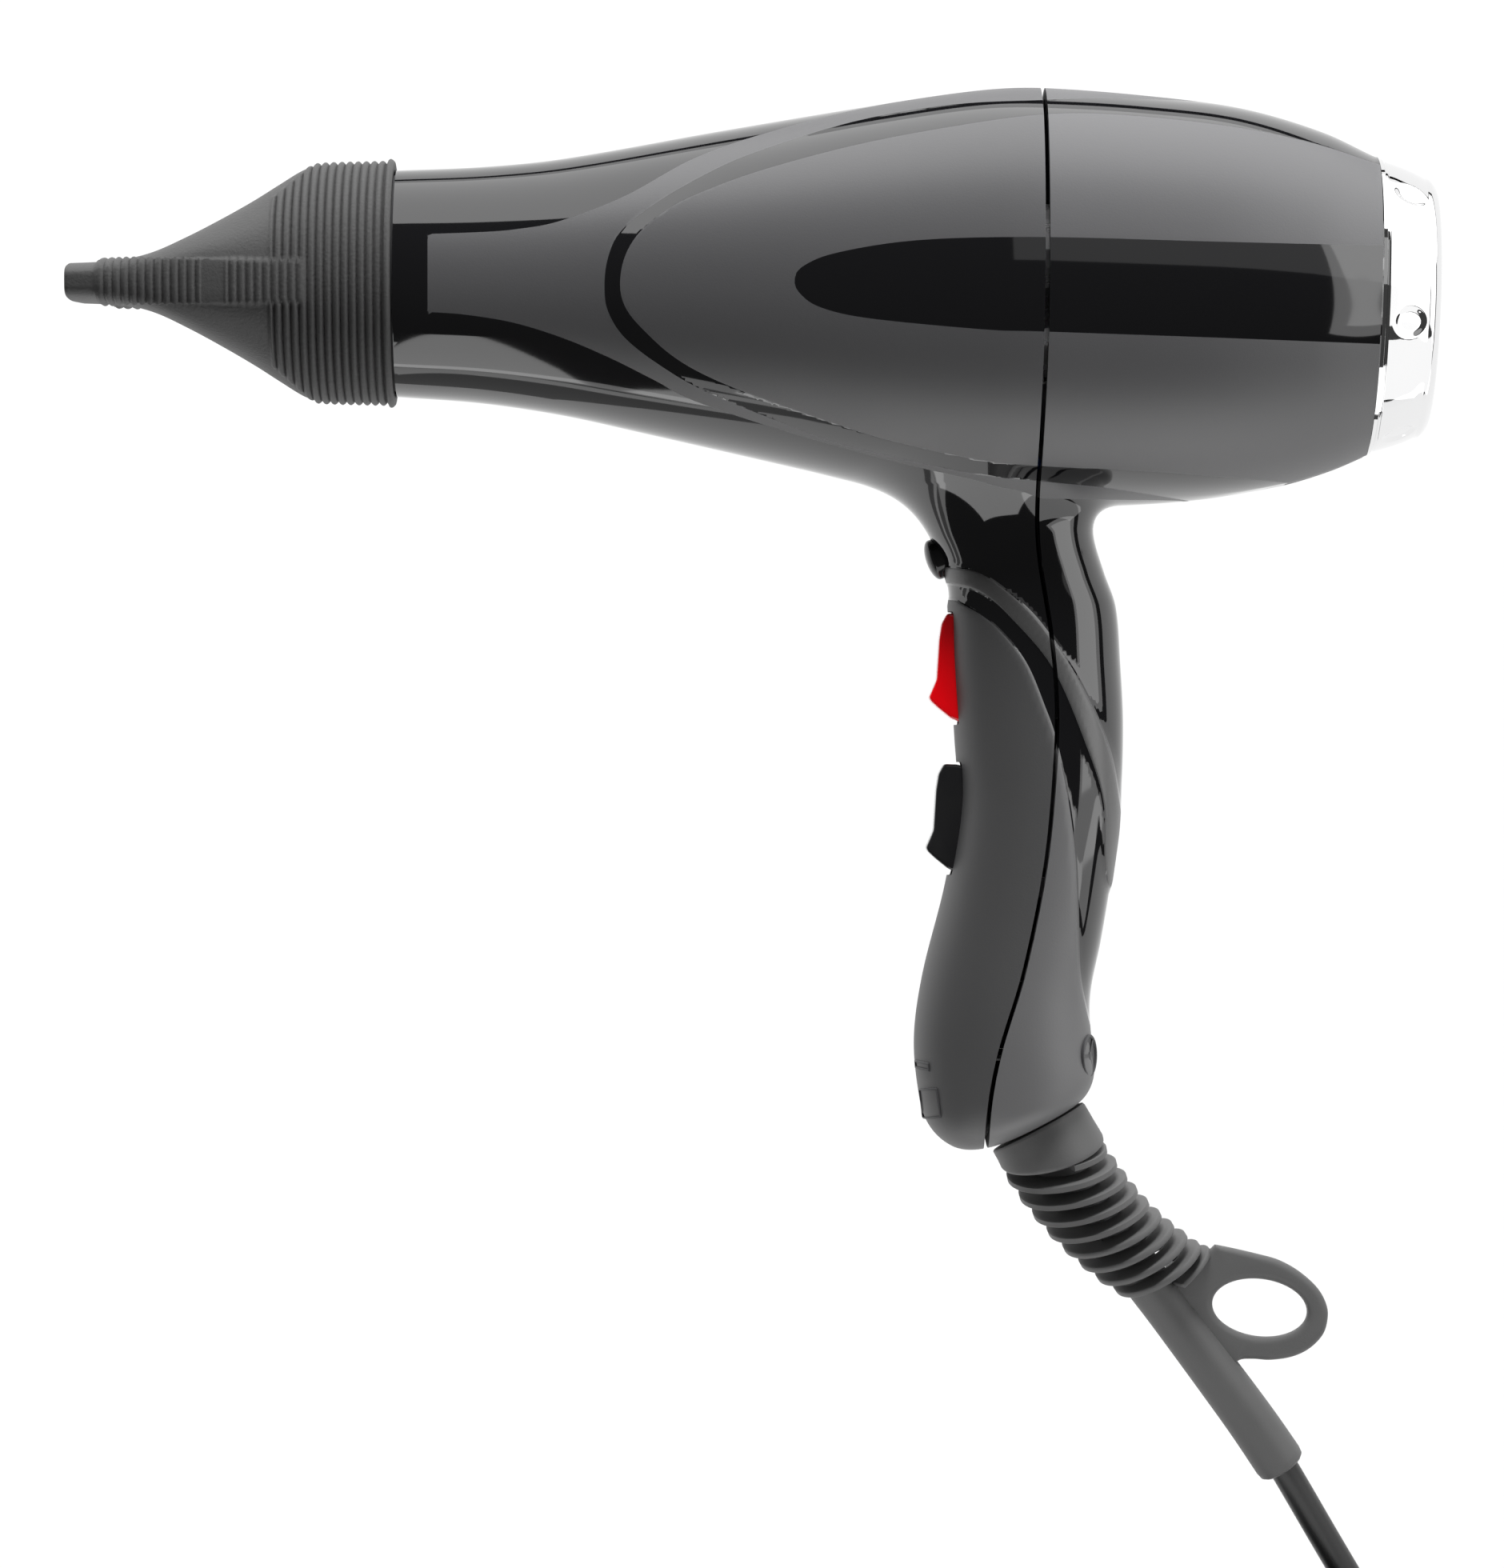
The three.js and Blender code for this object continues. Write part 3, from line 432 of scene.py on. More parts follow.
def apply_modifiers(obj):
    graph = bpy.context.evaluated_depsgraph_get()
    mesh = bpy.data.meshes.new_from_object(obj.evaluated_get(graph))
    obj.modifiers.clear()
    old = obj.data
    obj.data = mesh
    bpy.data.meshes.remove(old)


def turned(name, profile, centre=(0, 0, 0), axis=(1, 0, 0), around=96, closed=True, bump=None):
    """A turned piece from (radius, along) points about an axis through centre."""
    axis = np.array(axis, float) / np.linalg.norm(axis)
    side = np.cross(axis, (0, 0, 1.0))
    side = side / np.linalg.norm(side) if np.linalg.norm(side) > 0.1 else np.array([1.0, 0, 0])
    up = np.cross(side, axis)
    angle = np.linspace(0, 2 * np.pi, around, endpoint=False)
    r, s = np.array(profile, float).T
    rr = np.repeat(r[:, None], around, 1)
    if bump is not None:
        rr = rr + bump(s[:, None], angle[None, :])
    ring = np.cos(angle)[:, None] * side + np.sin(angle)[:, None] * up
    grid = np.asarray(centre, float) + s[:, None, None] * axis + rr[:, :, None] * ring[None]
    return grid_object(name, grid, caps=not closed, closed_rows=closed)


def rounded(points, radius, steps=4):
    """A closed outline of (a, b) points with its corners rounded."""
    p = np.array(points, float)
    out = []
    for before, at, after in zip(np.roll(p, 1, 0), p, np.roll(p, -1, 0)):
        u, v = before - at, after - at
        lu, lv = np.linalg.norm(u), np.linalg.norm(v)
        cut = min(radius, 0.45 * lu, 0.45 * lv)
        a, b = at + u / lu * cut, at + v / lv * cut
        for t in np.linspace(0, 1, steps + 1):
            out.append((1 - t) ** 2 * a + 2 * t * (1 - t) * at + t**2 * b)
    return np.array(out)


def frames_along(line):
    """Side and up vectors at each point of a line that is never vertical."""
    t = unit(np.gradient(line, axis=0))
    side = unit(np.stack([-t[:, 1], t[:, 0], np.zeros(len(t))], axis=1))
    return side, np.cross(t, side)


def slab(name, outline, z0, z1, bevel=0.5):
    """A flat outline in X and Y drawn thick along Z, with rounded edges."""
    flat = np.array(outline, float)
    low, high = (np.column_stack([flat, np.full(len(flat), z)]) for z in (z0, z1))
    obj = prism(name, low, high)
    soften(obj, bevel)
    return obj


def soften(obj, width, segments=3, angle=40):
    """Rounds a piece's edges by width millimetres."""
    bevel = obj.modifiers.new("edge", "BEVEL")
    bevel.width = width / 1000
    bevel.segments = segments
    bevel.limit_method = "ANGLE"
    bevel.angle_limit = math.radians(angle)
    apply_modifiers(obj)


# ---------------------------------------------------------------- materials
def feed(tree, socket, value):
    """Sets a socket to a number or colour, or wires another node's output to it."""
    if isinstance(value, bpy.types.NodeSocket):
        tree.links.new(value, socket)
    else:
        socket.default_value = value


def feed_all(tree, node, inputs):
    for key, value in inputs.items():
        feed(tree, node.inputs[key.replace("_", " ")], value)
    return node


def add_node(tree, kind, **inputs):
    return feed_all(tree, tree.nodes.new("ShaderNode" + kind), inputs)


def mix(tree, factor, a, b, kind="FLOAT"):
    """The output of a node that goes from a to b with the factor."""
    node = tree.nodes.new("ShaderNodeMix")
    node.data_type = kind
    first, out = (2, 0) if kind == "FLOAT" else (6, 2)
    for socket, value in zip((node.inputs[0], *node.inputs[first : first + 2]), (factor, a, b)):
        feed(tree, socket, value)
    return node.outputs[out]


def rgb(tone):
    """A colour, or a number made into a grey."""
    return tone if isinstance(tone, tuple) else (tone, tone, tone)


def material(name, color, rough, metal=0.0, **inputs):
    m = bpy.data.materials.new(name)
    m.use_nodes = True
    looks = {"Base_Color": (*rgb(color), 1), "Roughness": rough, "Metallic": metal, **inputs}
    feed_all(m.node_tree, m.node_tree.nodes["Principled BSDF"], looks)
    return m


def add_grain(m, scale, strength, distance):
    """A fine moulded grain, in metres of the frame's space."""
    tree = m.node_tree
    place = add_node(tree, "TexCoord")
    tex = add_node(tree, "TexNoise", Vector=place.outputs["Object"], Scale=scale, Detail=3.0)
    bump = add_node(tree, "Bump", Height=tex.outputs["Fac"], Strength=strength, Distance=distance)
    feed(tree, tree.nodes["Principled BSDF"].inputs["Normal"], bump.outputs["Normal"])
    return m


def mottled(m, color, other, scale, rough, rough_spread, stretch):
    """Lets a material's colour and roughness wander a little, along a stretched noise."""
    tree = m.node_tree
    shader = tree.nodes["Principled BSDF"]
    place = add_node(tree, "TexCoord")
    grid = add_node(tree, "Mapping", Vector=place.outputs["Object"], Scale=stretch)
    wander = add_node(tree, "TexNoise", Vector=grid.outputs["Vector"], Scale=scale, Detail=4.0).outputs["Fac"]
    low, high = rough - rough_spread, rough + rough_spread
    spread = add_node(tree, "MapRange", Value=wander, To_Min=low, To_Max=high)
    feed(tree, shader.inputs["Base Color"], mix(tree, wander, (*rgb(color), 1), (*rgb(other), 1), "RGBA"))
    feed(tree, shader.inputs["Roughness"], spread.outputs["Result"])
    return m


def wandering(name, color, other, rough, spread, scale, metal=0.0, grain=None, stretch=(1, 1, 1), **inputs):
    """A material whose colour and roughness wander, with a fine grain of (scale, strength, distance)."""
    m = material(name, color, rough, metal, **inputs)
    mottled(m, color, other, scale, rough, spread, stretch)
    return add_grain(m, *grain) if grain else m


GLOSS = (0.003, 0.003, 0.0035)
GLOSS_ROUGH, SATIN_ROUGH, BAND_ROUGH, GRIP_ROUGH, LINING_ROUGH = 0.05, 0.46, 0.4, 0.52, 0.6


def shell_material(name, satin_tone, grip_tone):
    """Gloss black with a satin grained panel and swoosh, a gloss inlay, and a matte grip."""
    m = material(name, GLOSS, GLOSS_ROUGH, Specular_IOR_Level=0.8, IOR=1.6)
    tree = m.node_tree
    shader = tree.nodes["Principled BSDF"]

    def inside(name, edge=0.05):
        field = tree.nodes.new("ShaderNodeAttribute")
        field.attribute_name = name
        step = add_node(tree, "MapRange", Value=field.outputs["Fac"], From_Min=edge, From_Max=-edge)
        return step.outputs["Result"]

    def combine(kind, a, b):
        node = tree.nodes.new("ShaderNodeMath")
        node.operation = kind
        node.use_clamp = True
        for socket, value in zip(node.inputs, (a, b)):
            feed(tree, socket, value)
        return node.outputs[0]

    on_barrel = inside("handle")
    off_barrel = combine("SUBTRACT", 1.0, on_barrel)
    panel = combine("SUBTRACT", inside("panel"), inside("inlay"))
    swoosh = combine("SUBTRACT", inside("swoosh"), inside("bevel"))
    satin = combine("MULTIPLY", combine("MAXIMUM", panel, swoosh), on_barrel)
    grip = combine("MULTIPLY", inside("grip"), off_barrel)
    band = combine("MULTIPLY", inside("band"), off_barrel)
    rough = GLOSS_ROUGH
    lining = inside("lining")
    finishes = ((satin, SATIN_ROUGH), (band, BAND_ROUGH), (grip, GRIP_ROUGH), (lining, LINING_ROUGH))
    for field, value in finishes:
        rough = mix(tree, field, rough, value)
    color = (*GLOSS, 1)
    for field, tone, blue in ((satin, satin_tone, 1.04), (band, satin_tone, 1), (grip, grip_tone, 1.02)):
        color = mix(tree, field, color, (tone, tone, tone * blue, 1), "RGBA")
    feed(tree, shader.inputs["Roughness"], rough)
    feed(tree, shader.inputs["Base Color"], color)
    place = add_node(tree, "TexCoord")
    grain = add_node(tree, "TexNoise", Vector=place.outputs["Object"], Scale=2600)
    grained = combine("MAXIMUM", satin, combine("MAXIMUM", grip, band))
    strength = combine("MULTIPLY", grained, 0.35)
    bump = add_node(tree, "Bump", Height=grain.outputs["Fac"], Strength=strength, Distance=0.00005)
    raised = combine("MAXIMUM", inside("grip", 0.3), inside("band", 0.3))
    height = combine("MULTIPLY", raised, off_barrel)
    edge = add_node(tree, "Bump", Height=height, Distance=0.0002, Normal=bump.outputs["Normal"])
    feed(tree, shader.inputs["Normal"], edge.outputs["Normal"])
    return m


MAT = {
    # Both halves are one plastic, but the rear shell's satin and grip take lighter tones than the front's
    # (0.058 and 0.082 against 0.047 and 0.037): painted light for the stronger light the rear half gets from
    # the +X side.
    "front_shell": shell_material("front_plastic", 0.047, 0.037),
    "rear_shell": shell_material("rear_plastic_painted_light", 0.058, 0.082),
    "nozzle": wandering("nozzle_plastic", 0.031, 0.04, 0.55, 0.06, 90, grain=(1500, 0.6, 0.0002)),
    "chrome": wandering("chrome_plate", (0.8, 0.8, 0.805), 0.84, 0.04, 0.015, 60, 1.0),
    "rubber": wandering("guard_rubber", 0.07, 0.084, 0.5, 0.06, 120, grain=(2200, 0.25, 0.00008)),
    "cord": wandering("cord_sheath", 0.011, 0.015, 0.4, 0.05, 150, grain=(1800, 0.2, 0.00006)),
    "red": wandering("red_rocker", (0.85, 0.0, 0.004), (0.78, 0.0, 0.004), 0.12, 0.03, 200, Coat_Weight=0.4),
    "black": wandering("gloss_black", (0.008, 0.008, 0.009), 0.012, 0.1, 0.03, 200),
    "nylon": wandering(
        "nylon", (0.03, 0.03, 0.032), (0.04, 0.04, 0.042), 0.5, 0.07, 150, grain=(1500, 0.25, 0.0001)
    ),
    "steel": wandering(
        "drawn_steel", (0.5, 0.5, 0.51), (0.6, 0.6, 0.61), 0.28, 0.08, 260, 1.0,
        (900, 0.15, 0.00005), (0.15, 1, 1),
    ),
    "mica": wandering(
        "mica_sheet", (0.34, 0.25, 0.14), (0.55, 0.44, 0.28), 0.42, 0.15, 180, 0.1, (400, 0.3, 0.0001)
    ),
    "copper": wandering(
        "copper_winding", (0.66, 0.3, 0.16), (0.78, 0.42, 0.25), 0.32, 0.08, 300, 1.0,
        (1200, 0.3, 0.0001), (0.2, 1, 1),
    ),
    "film": wandering(
        "capacitor_case", (0.5, 0.32, 0.03), (0.6, 0.4, 0.04), 0.3, 0.08, 120, grain=(900, 0.15, 0.00005)
    ),
    "board": wandering(
        "lacquered_board", (0.014, 0.08, 0.024), (0.03, 0.13, 0.045), 0.35, 0.1, 220,
        grain=(1400, 0.25, 0.00008),
    ),
    "wire": wandering(
        "wire_insulation", (0.018, 0.055, 0.2), (0.028, 0.075, 0.25), 0.4, 0.08, 160,
        grain=(1500, 0.2, 0.00005),
    ),
    "dark_steel": wandering("filter_gauze", 0.1, 0.16, 0.5, 0.12, 400, 0.8),
}


# ---------------------------------------------------------------- housings
def rough_skin():
    """The barrel and the grip as closed tubes, joined into one skin by a fine remesh."""
    around = 64
    c, s = circle(around)
    rings = []
    for x in np.linspace(-133, 71, 60):
        top, bottom, side = barrel_top(x), barrel_bottom(x), barrel_side(x)
        half = (top - bottom) / 2 + 0.3
        rings.append(np.stack([np.full(around, x), (top + bottom) / 2 + half * c, (side + 0.3) * s], axis=1))
    barrel = grid_object("barrel", np.array(rings), caps=True)
    rings = []
    for y in np.linspace(-174, -14, 50):
        front, rear, side = grip_front(y), grip_rear(y), grip_side(y)
        half = (rear - front) / 2
        rings.append(np.stack([(front + rear) / 2 + half * c, np.full(around, y), side * s], axis=1))
    skin = join("skin", barrel, grid_object("grip", np.array(rings), caps=True))
    skin.data.transform(Matrix.Scale(1000, 4))
    remesh = skin.modifiers.new("skin", "REMESH")
    remesh.mode = "VOXEL"
    remesh.voxel_size = SKIN_STEP
    apply_modifiers(skin)
    return skin


def read_points(mesh):
    """The places of a mesh's vertices."""
    p = np.empty(len(mesh.vertices) * 3)
    mesh.vertices.foreach_get("co", p)
    return p.reshape(-1, 3)


def fit_skin(skin):
    """Draws the skin's points onto the form, spreading them evenly over it."""
    mesh = skin.data
    n = len(mesh.vertices)
    p = read_points(mesh) - ORIGIN
    edges = np.empty(len(mesh.edges) * 2, int)
    mesh.edges.foreach_get("vertices", edges)
    a, b = edges.reshape(-1, 2).T
    degree = np.bincount(a, minlength=n) + np.bincount(b, minlength=n)
    p = pull_to_form(pull_to_form(p))
    for _ in range(6):
        sums = [np.bincount(a, p[b, k], n) + np.bincount(b, p[a, k], n) for k in range(3)]
        g = unit(gradient(p))
        move = np.stack(sums, axis=1) / degree[:, None] - p
        move -= g * (move * g).sum(1)[:, None]
        p = pull_to_form(p + 0.5 * move)
    p = pull_to_form(p)
    mesh.vertices.foreach_set("co", p.ravel())
    mesh.update()


def cut_mesh(bm, place, normal, **cleared):
    """Cuts a mesh with a plane and clears one side of it."""
    geometry = bm.verts[:] + bm.edges[:] + bm.faces[:]
    bmesh.ops.bisect_plane(bm, geom=geometry, dist=1e-4, plane_co=place, plane_no=normal, **cleared)


def half_shell(skin, front):
    """The skin on one side of the seam, cut at its open end and given its wall."""
    bm = bmesh.new()
    bm.from_mesh(skin.data)
    for v in bm.verts:
        v.co.x -= float(seam(v.co.y))
    sign = -1 if front else 1
    cut_mesh(bm, (sign * SEAM_GAP / 2, 0, 0), (sign, 0, 0), clear_inner=True)
    for v in bm.verts:
        v.co.x += float(seam(v.co.y))
    if front:
        cut_mesh(bm, (OUTLET["shoulder"], 0, 0), (-1, 0, 0), clear_outer=True)
    else:
        cut_mesh(bm, INLET_SEAT, INLET_AXIS, clear_outer=True)
    mesh = bpy.data.meshes.new("half")
    bm.to_mesh(mesh)
    bm.free()
    obj = show("front_shell" if front else "rear_shell", mesh)
    wall = obj.modifiers.new("wall", "SOLIDIFY")
    wall.thickness = WALL
    wall.offset = -1
    wall.use_rim = True
    apply_modifiers(obj)
    return obj


def cut_away(obj, *cutters):
    for cutter in cutters:
        cut = obj.modifiers.new("cut", "BOOLEAN")
        cut.operation = "DIFFERENCE"
        cut.solver = "MANIFOLD"
        cut.object = cutter
    apply_modifiers(obj)
    for cutter in cutters:
        bpy.data.objects.remove(cutter)


def drawing_box(x0, x1, y0, y1, z0, z1, radius=0.8):
    """A box whose edges along X are rounded, in drawing space."""
    outline = rounded([(y0, z0), (y1, z0), (y1, z1), (y0, z1)], radius, 3)
    near, far = (np.column_stack([np.full(len(outline), x), outline]) for x in (x0, x1))
    return prism("cutter", near, far, metres=False)


def finish_shell(obj, body, node):
    """Stores where the finishes lie, sets exact normals on the outer skin, and moves it to the frame."""
    mesh = obj.data
    p = read_points(mesh)
    depth = form(p)
    x, y = as_seen(p)
    fields = {name: chart(x, y) for name, chart in charts.items()}
    fields["handle"] = HANDLE_TOP - p[:, 1]
    fields["lining"] = depth + 1.0
    for name, values in fields.items():
        attribute = mesh.attributes.new(name, "FLOAT", "POINT")
        attribute.data.foreach_set("value", values.astype(np.float32))
    g = unit(gradient(p, 0.15))
    mesh.shade_smooth()
    mesh.set_sharp_from_angle(angle=math.radians(50))
    loops = len(mesh.loops)
    corner = np.empty(loops * 3)
    mesh.corner_normals.foreach_get("vector", corner)
    corner = corner.reshape(-1, 3)
    vertex = np.empty(loops, int)
    mesh.loops.foreach_get("vertex_index", vertex)
    outer = (np.abs(depth[vertex]) < 0.03) & ((corner * g[vertex]).sum(1) > 0.85)
    corner[outer] = g[vertex][outer]
    mesh.vertices.foreach_set("co", row(p).ravel())
    mesh.update()
    mesh.normals_split_custom_set(corner.tolist())
    mesh.materials.clear()
    mesh.materials.append(MAT[obj.name])
    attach(obj, body)
    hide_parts(node)


ROCKER = {"x": -17.5, "y": -76.4, "half": 5.6, "gap": 0.5, "reach": 11.3, "pitch": (-0.6, -30)}
SHOT = (-21.4, -54.6, 0)
SHOT_ANGLE = math.radians(199.3)
SHOT_AXIS = (math.cos(SHOT_ANGLE), math.sin(SHOT_ANGLE), 0)


def pin_cutter(radius, start, end):
    """A round cutter through the cool-shot button's seat."""
    axis = np.array(SHOT_AXIS)
    side = np.array([-axis[1], axis[0], 0])
    c, s = circle(48)
    ring = np.array(SHOT) + radius * (c[:, None] * side + s[:, None] * np.array([0, 0, 1.0]))
    return prism("cutter", ring + start * axis, ring + end * axis, metres=False)


def housings():
    skin = rough_skin()
    fit_skin(skin)
    front = half_shell(skin, True)
    windows = []
    half = ROCKER["half"] + ROCKER["gap"]
    for i in range(2):
        y = ROCKER["y"] + i * ROCKER["pitch"][1]
        windows.append(drawing_box(-36, -9, y - ROCKER["reach"], y + ROCKER["reach"], -half, half))
    cut_away(front, *windows, pin_cutter(4.5, -8, 8))
    rear = half_shell(skin, False)
    finish_shell(front, "dryer_body", "front_housing")
    finish_shell(rear, "dryer_body", "rear_housing")
    bpy.data.objects.remove(skin)
    bore, outer, front_x, back_x = OUTLET["bore"], OUTLET["outer"], OUTLET["front"], OUTLET["shoulder"] + 1
    profile = [(bore, back_x), (bore, front_x + 0.4), (bore + 0.3, front_x), (outer - 0.3, front_x)]
    profile += [(outer, front_x + 0.3), (outer, back_x)]
    collar = turned("outlet_collar", profile, (0, AXIS_Y, 0))
    settle(collar, MAT["nylon"], "dryer_body")


# ---------------------------------------------------------------- nozzle
nozzle_height = smooth(
    [(-193, 3.8), (-188, 4.0), (-183, 4.4), (-176.5, 6.1), (-170, 9.2), (-163.7, 12.7), (-157.3, 16.5),
     (-152.5, 19.6), (-148, 22.4), (-145.5, 23.3), (-142, 23.6), (-129.4, 23.9)]
)
nozzle_width = smooth(
    [(-193, 29.6), (-183, 29.2), (-170, 28.0), (-157, 26.0), (-148, 24.3), (-144, 23.8), (-129.4, 23.9)]
)
nozzle_power = smooth([(-193, 4.2), (-176, 4), (-160, 2.6), (-146, 2), (-129.4, 2)])
NOZZLE_TURN = math.radians(2.7)
RIB_PITCH = 1.63


def ribs(at):
    """Rounded ridges with narrow grooves between them, 0 to 1."""
    return np.abs(np.sin(np.pi * at / RIB_PITCH)) ** 0.8


def nozzle_relief(x, y, z):
    """Ring ribs at the wide end, and a raised ribbed band along each narrow side."""
    v = np.abs(y)
    start = -153.4 + 7.4 * np.clip((v - 16.5) / 7.0, 0, 1)
    rings = 0.75 * (ribs(x + 129.4) - 0.2) * ramp(x, start - 0.2, start + 0.7)
    rings = rings + 0.35 * ramp(x, -130.9, -130.5)
    on_side = ramp(-v, -4.5, -4.0) * ramp(np.abs(z), 12, 16)
    on_side = on_side * ramp(x, -187.4, -186.8) * (1 - ramp(x, -147.5, -145.2))
    ribbed = ramp(x, -186.9, -186.5) * (1 - ramp(x, -166.6, -166.2)) + ramp(x, -161.9, -161.5)
    band = 0.5 + 0.6 * (ribs(x + 186.9) - 0.5) * ribbed
    return rings * (1 - on_side) + band * on_side


def nozzle():
    """The concentrator as one skin: outside, lip, inside and the bore that slides on the collar."""
    around = 210
    c, s = circle(around)

    def placed(x, y, z):
        turned_y = y * math.cos(NOZZLE_TURN) - z * math.sin(NOZZLE_TURN)
        turned_z = y * math.sin(NOZZLE_TURN) + z * math.cos(NOZZLE_TURN)
        return np.stack([np.full(around, x), AXIS_Y + turned_y, turned_z], axis=1)

    def section(x, inset, relieved):
        power = nozzle_power(x)
        cy, cz = squared(c, power), squared(s, power)
        h, w = nozzle_height(x) - inset, nozzle_width(x) - inset
        y, z = h * cy, w * cz
        d = nozzle_relief(np.full(around, x), y, z) if relieved else 0
        out = unit(np.stack([cy / max(h, 1), cz / max(w, 1)], axis=1))
        return placed(x, y + d * out[:, 0], z + d * out[:, 1])

    outside = [section(x, 0, True) for x in np.linspace(-129.6, -187.2, 355)]
    outside += [section(x, 0, True) for x in np.linspace(-187.6, -192.7, 12)]
    tip = [section(-193, 0.25, False), section(-193, 1.0, False)]
    walls = [(x, 0.9 + 0.7 * float(ramp(x, -190, -170))) for x in np.linspace(-192.4, -145, 40)]
    inside = [section(x, wall, False) for x, wall in walls]
    bore_line = [(-144.3, 22), (-137, 22), (-130, 22), (-129.4, 22.4), (-129.4, 24), (-129.45, 24.3)]
    bore = [placed(x, r * c, r * s) for x, r in bore_line]
    obj = grid_object("nozzle_skin", np.array(outside + tip + inside + bore), closed_rows=True)
    settle(obj, MAT["nozzle"], "nozzle", ["nozzle"], sharp=60)


# ---------------------------------------------------------------- air inlet
def dimples(s, angle):
    """Six oval finger dimples round the ring."""
    depth = 0
    for k in range(6):
        middle = math.radians(80.5 + 60 * k)
        turn = (angle - middle + np.pi) % (2 * np.pi) - np.pi
        q = np.sqrt(((s - 6.0) / 3.6) ** 2 + (turn * 27.6 / 3.4) ** 2)
        depth = depth + 0.6 * (1 - ramp(q, 0.55, 1.0))
    return -depth * (s > 1.4) * (s < 10.5)


def at_inlet(name, profile, around=96, **more):
    """A piece turned about the inlet's own axis."""
    return turned(name, profile, INLET_SEAT, INLET_AXIS, around, **more)


def air_inlet():
    """The chrome ring with its rolled rim, and the grille of rings and spokes inside it."""
    outer = [(29.5, 0.3), (29.5, 1.0), (29.1, 1.25), (28.8, 1.3), (28.8, 1.6)]
    s = np.linspace(1.8, 9.8, 60)
    face = smooth([(1.8, 28.95), (4, 28.3), (6, 27.6), (8, 26.8), (9.8, 25.9)])
    outer += list(zip(face(s), s))
    rim = [(25.9, 10.4), (25.3, 11.1), (24.5, 11.8), (23.5, 12.2), (22.7, 12.2), (22.2, 11.8)]
    rim += [(22.0, 11.2), (22.0, 10.6)]
    inner = [(24.6, 8), (24.8, 4), (24.8, -6), (26.4, -6), (26.4, 0.3)]
    ring = at_inlet("inlet_ring", outer + rim + inner, 600, bump=dimples)
    settle(ring, MAT["chrome"], "inlet_cap", ["filter_ring"], sharp=50)
    bars = [(r - 0.6, r + 0.6) for r in (3.6, 6.6, 9.6, 12.6, 15.6, 18.6, 21.4)] + [(22.6, 23.7)]
    rings = [at_inlet("grille_ring", [(a, 6.7), (b, 6.7), (b, 8.4), (a, 8.4)]) for a, b in bars]
    rings.append(at_inlet("grille_hub", [(2.2, 6.7), (2.2, 8.6)], closed=False))
    for k in range(8):
        spoke = np.array([(6.8, 0, -0.6), (8.3, 0, -0.6), (8.3, 0, 0.6), (6.8, 0, 0.6)], float)
        ends = np.array([spoke + (0, 1.5, 0), spoke + (0, 23.2, 0)])
        turn = np.array(Matrix.Rotation(k * math.pi / 4, 3, "X"))
        tilt = np.array(Matrix.Rotation(-INLET_TILT, 3, "Z"))
        rings.append(grid_object("spoke", ends @ turn.T @ tilt.T + INLET_SEAT, caps=True))
    settle(join("inlet_grille_fine", *rings), MAT["black"], "inlet_cap", ["inlet_grille"])


# ---------------------------------------------------------------- controls
ROCKER_SIDE = [
    (-1.7, 10.9), (-2.8, 8.9), (-3.3, 5.7), (-3.6, 0.9), (-3.8, -2.3), (-4.6, -4.2), (-5.3, -5.8),
    (-4.9, -6.6), (-3.5, -7.9), (-0.9, -10), (1, -10.75), (5, -9.4), (5, 9.4), (1, 10.8),
]


def controls():
    """The two rockers and the dome of the cool-shot button."""
    for i, (name, slot) in enumerate((("speed_rocker", "red"), ("heat_rocker", "black"))):
        shift = np.array([ROCKER["x"], ROCKER["y"]]) + i * np.array(ROCKER["pitch"])
        side = rounded(np.array(ROCKER_SIDE) + shift, 0.5, 3)
        body = slab(name + "_cap", side, -ROCKER["half"], ROCKER["half"], 0.55)
        settle(body, MAT[slot], name, [name], sharp=40)
    dome = [(4.1, -3), (4.1, 0.2)]
    dome += [(4.1 * math.cos(a), 0.2 + 1.7 * math.sin(a)) for a in np.linspace(0.12, 1.5, 12)]
    button = turned("cool_shot_cap", dome, SHOT, SHOT_AXIS, 64, closed=False)
    settle(button, MAT["black"], "cool_shot_button", ["cool_shot_button"], sharp=45)


# ---------------------------------------------------------------- marks on the foot
def skin_along(start, direction, far=45.0):
    """The point where a ray from inside the housing comes through its skin, and the skin's normal there."""
    start, direction = np.array(start, float), np.array(direction, float)
    near = 0.0
    for _ in range(40):
        middle = (near + far) / 2
        if form((start + middle * direction)[None])[0] < 0:
            near = middle
        else:
            far = middle
    point = start + near * direction
    g = gradient(point[None])[0]
    return point, g / np.linalg.norm(g)


def raised_line(name, outline, width=0.4, height=0.3):
    """A thin raised line on the side of the foot, along an outline seen from the camera."""
    path = evenly(np.vstack([outline, outline[:1]]), 49)[:-1]
    found = [skin_along((x, y, 0), (0, 0, 1)) for x, y in path]
    points = np.array([p for p, _ in found])
    normal = np.array([n for _, n in found])
    along = np.roll(points, -1, 0) - np.roll(points, 1, 0)
    side = unit(np.cross(along, normal))
    section = [(-0.5, -0.6), (-0.5, 0.6), (-0.3, 1.0), (0.3, 1.0), (0.5, 0.6), (0.5, -0.6)]
    grid = np.stack([points + a * width * side + b * height * normal for a, b in section], axis=1)
    return grid_object(name, grid, closed_rows=True)


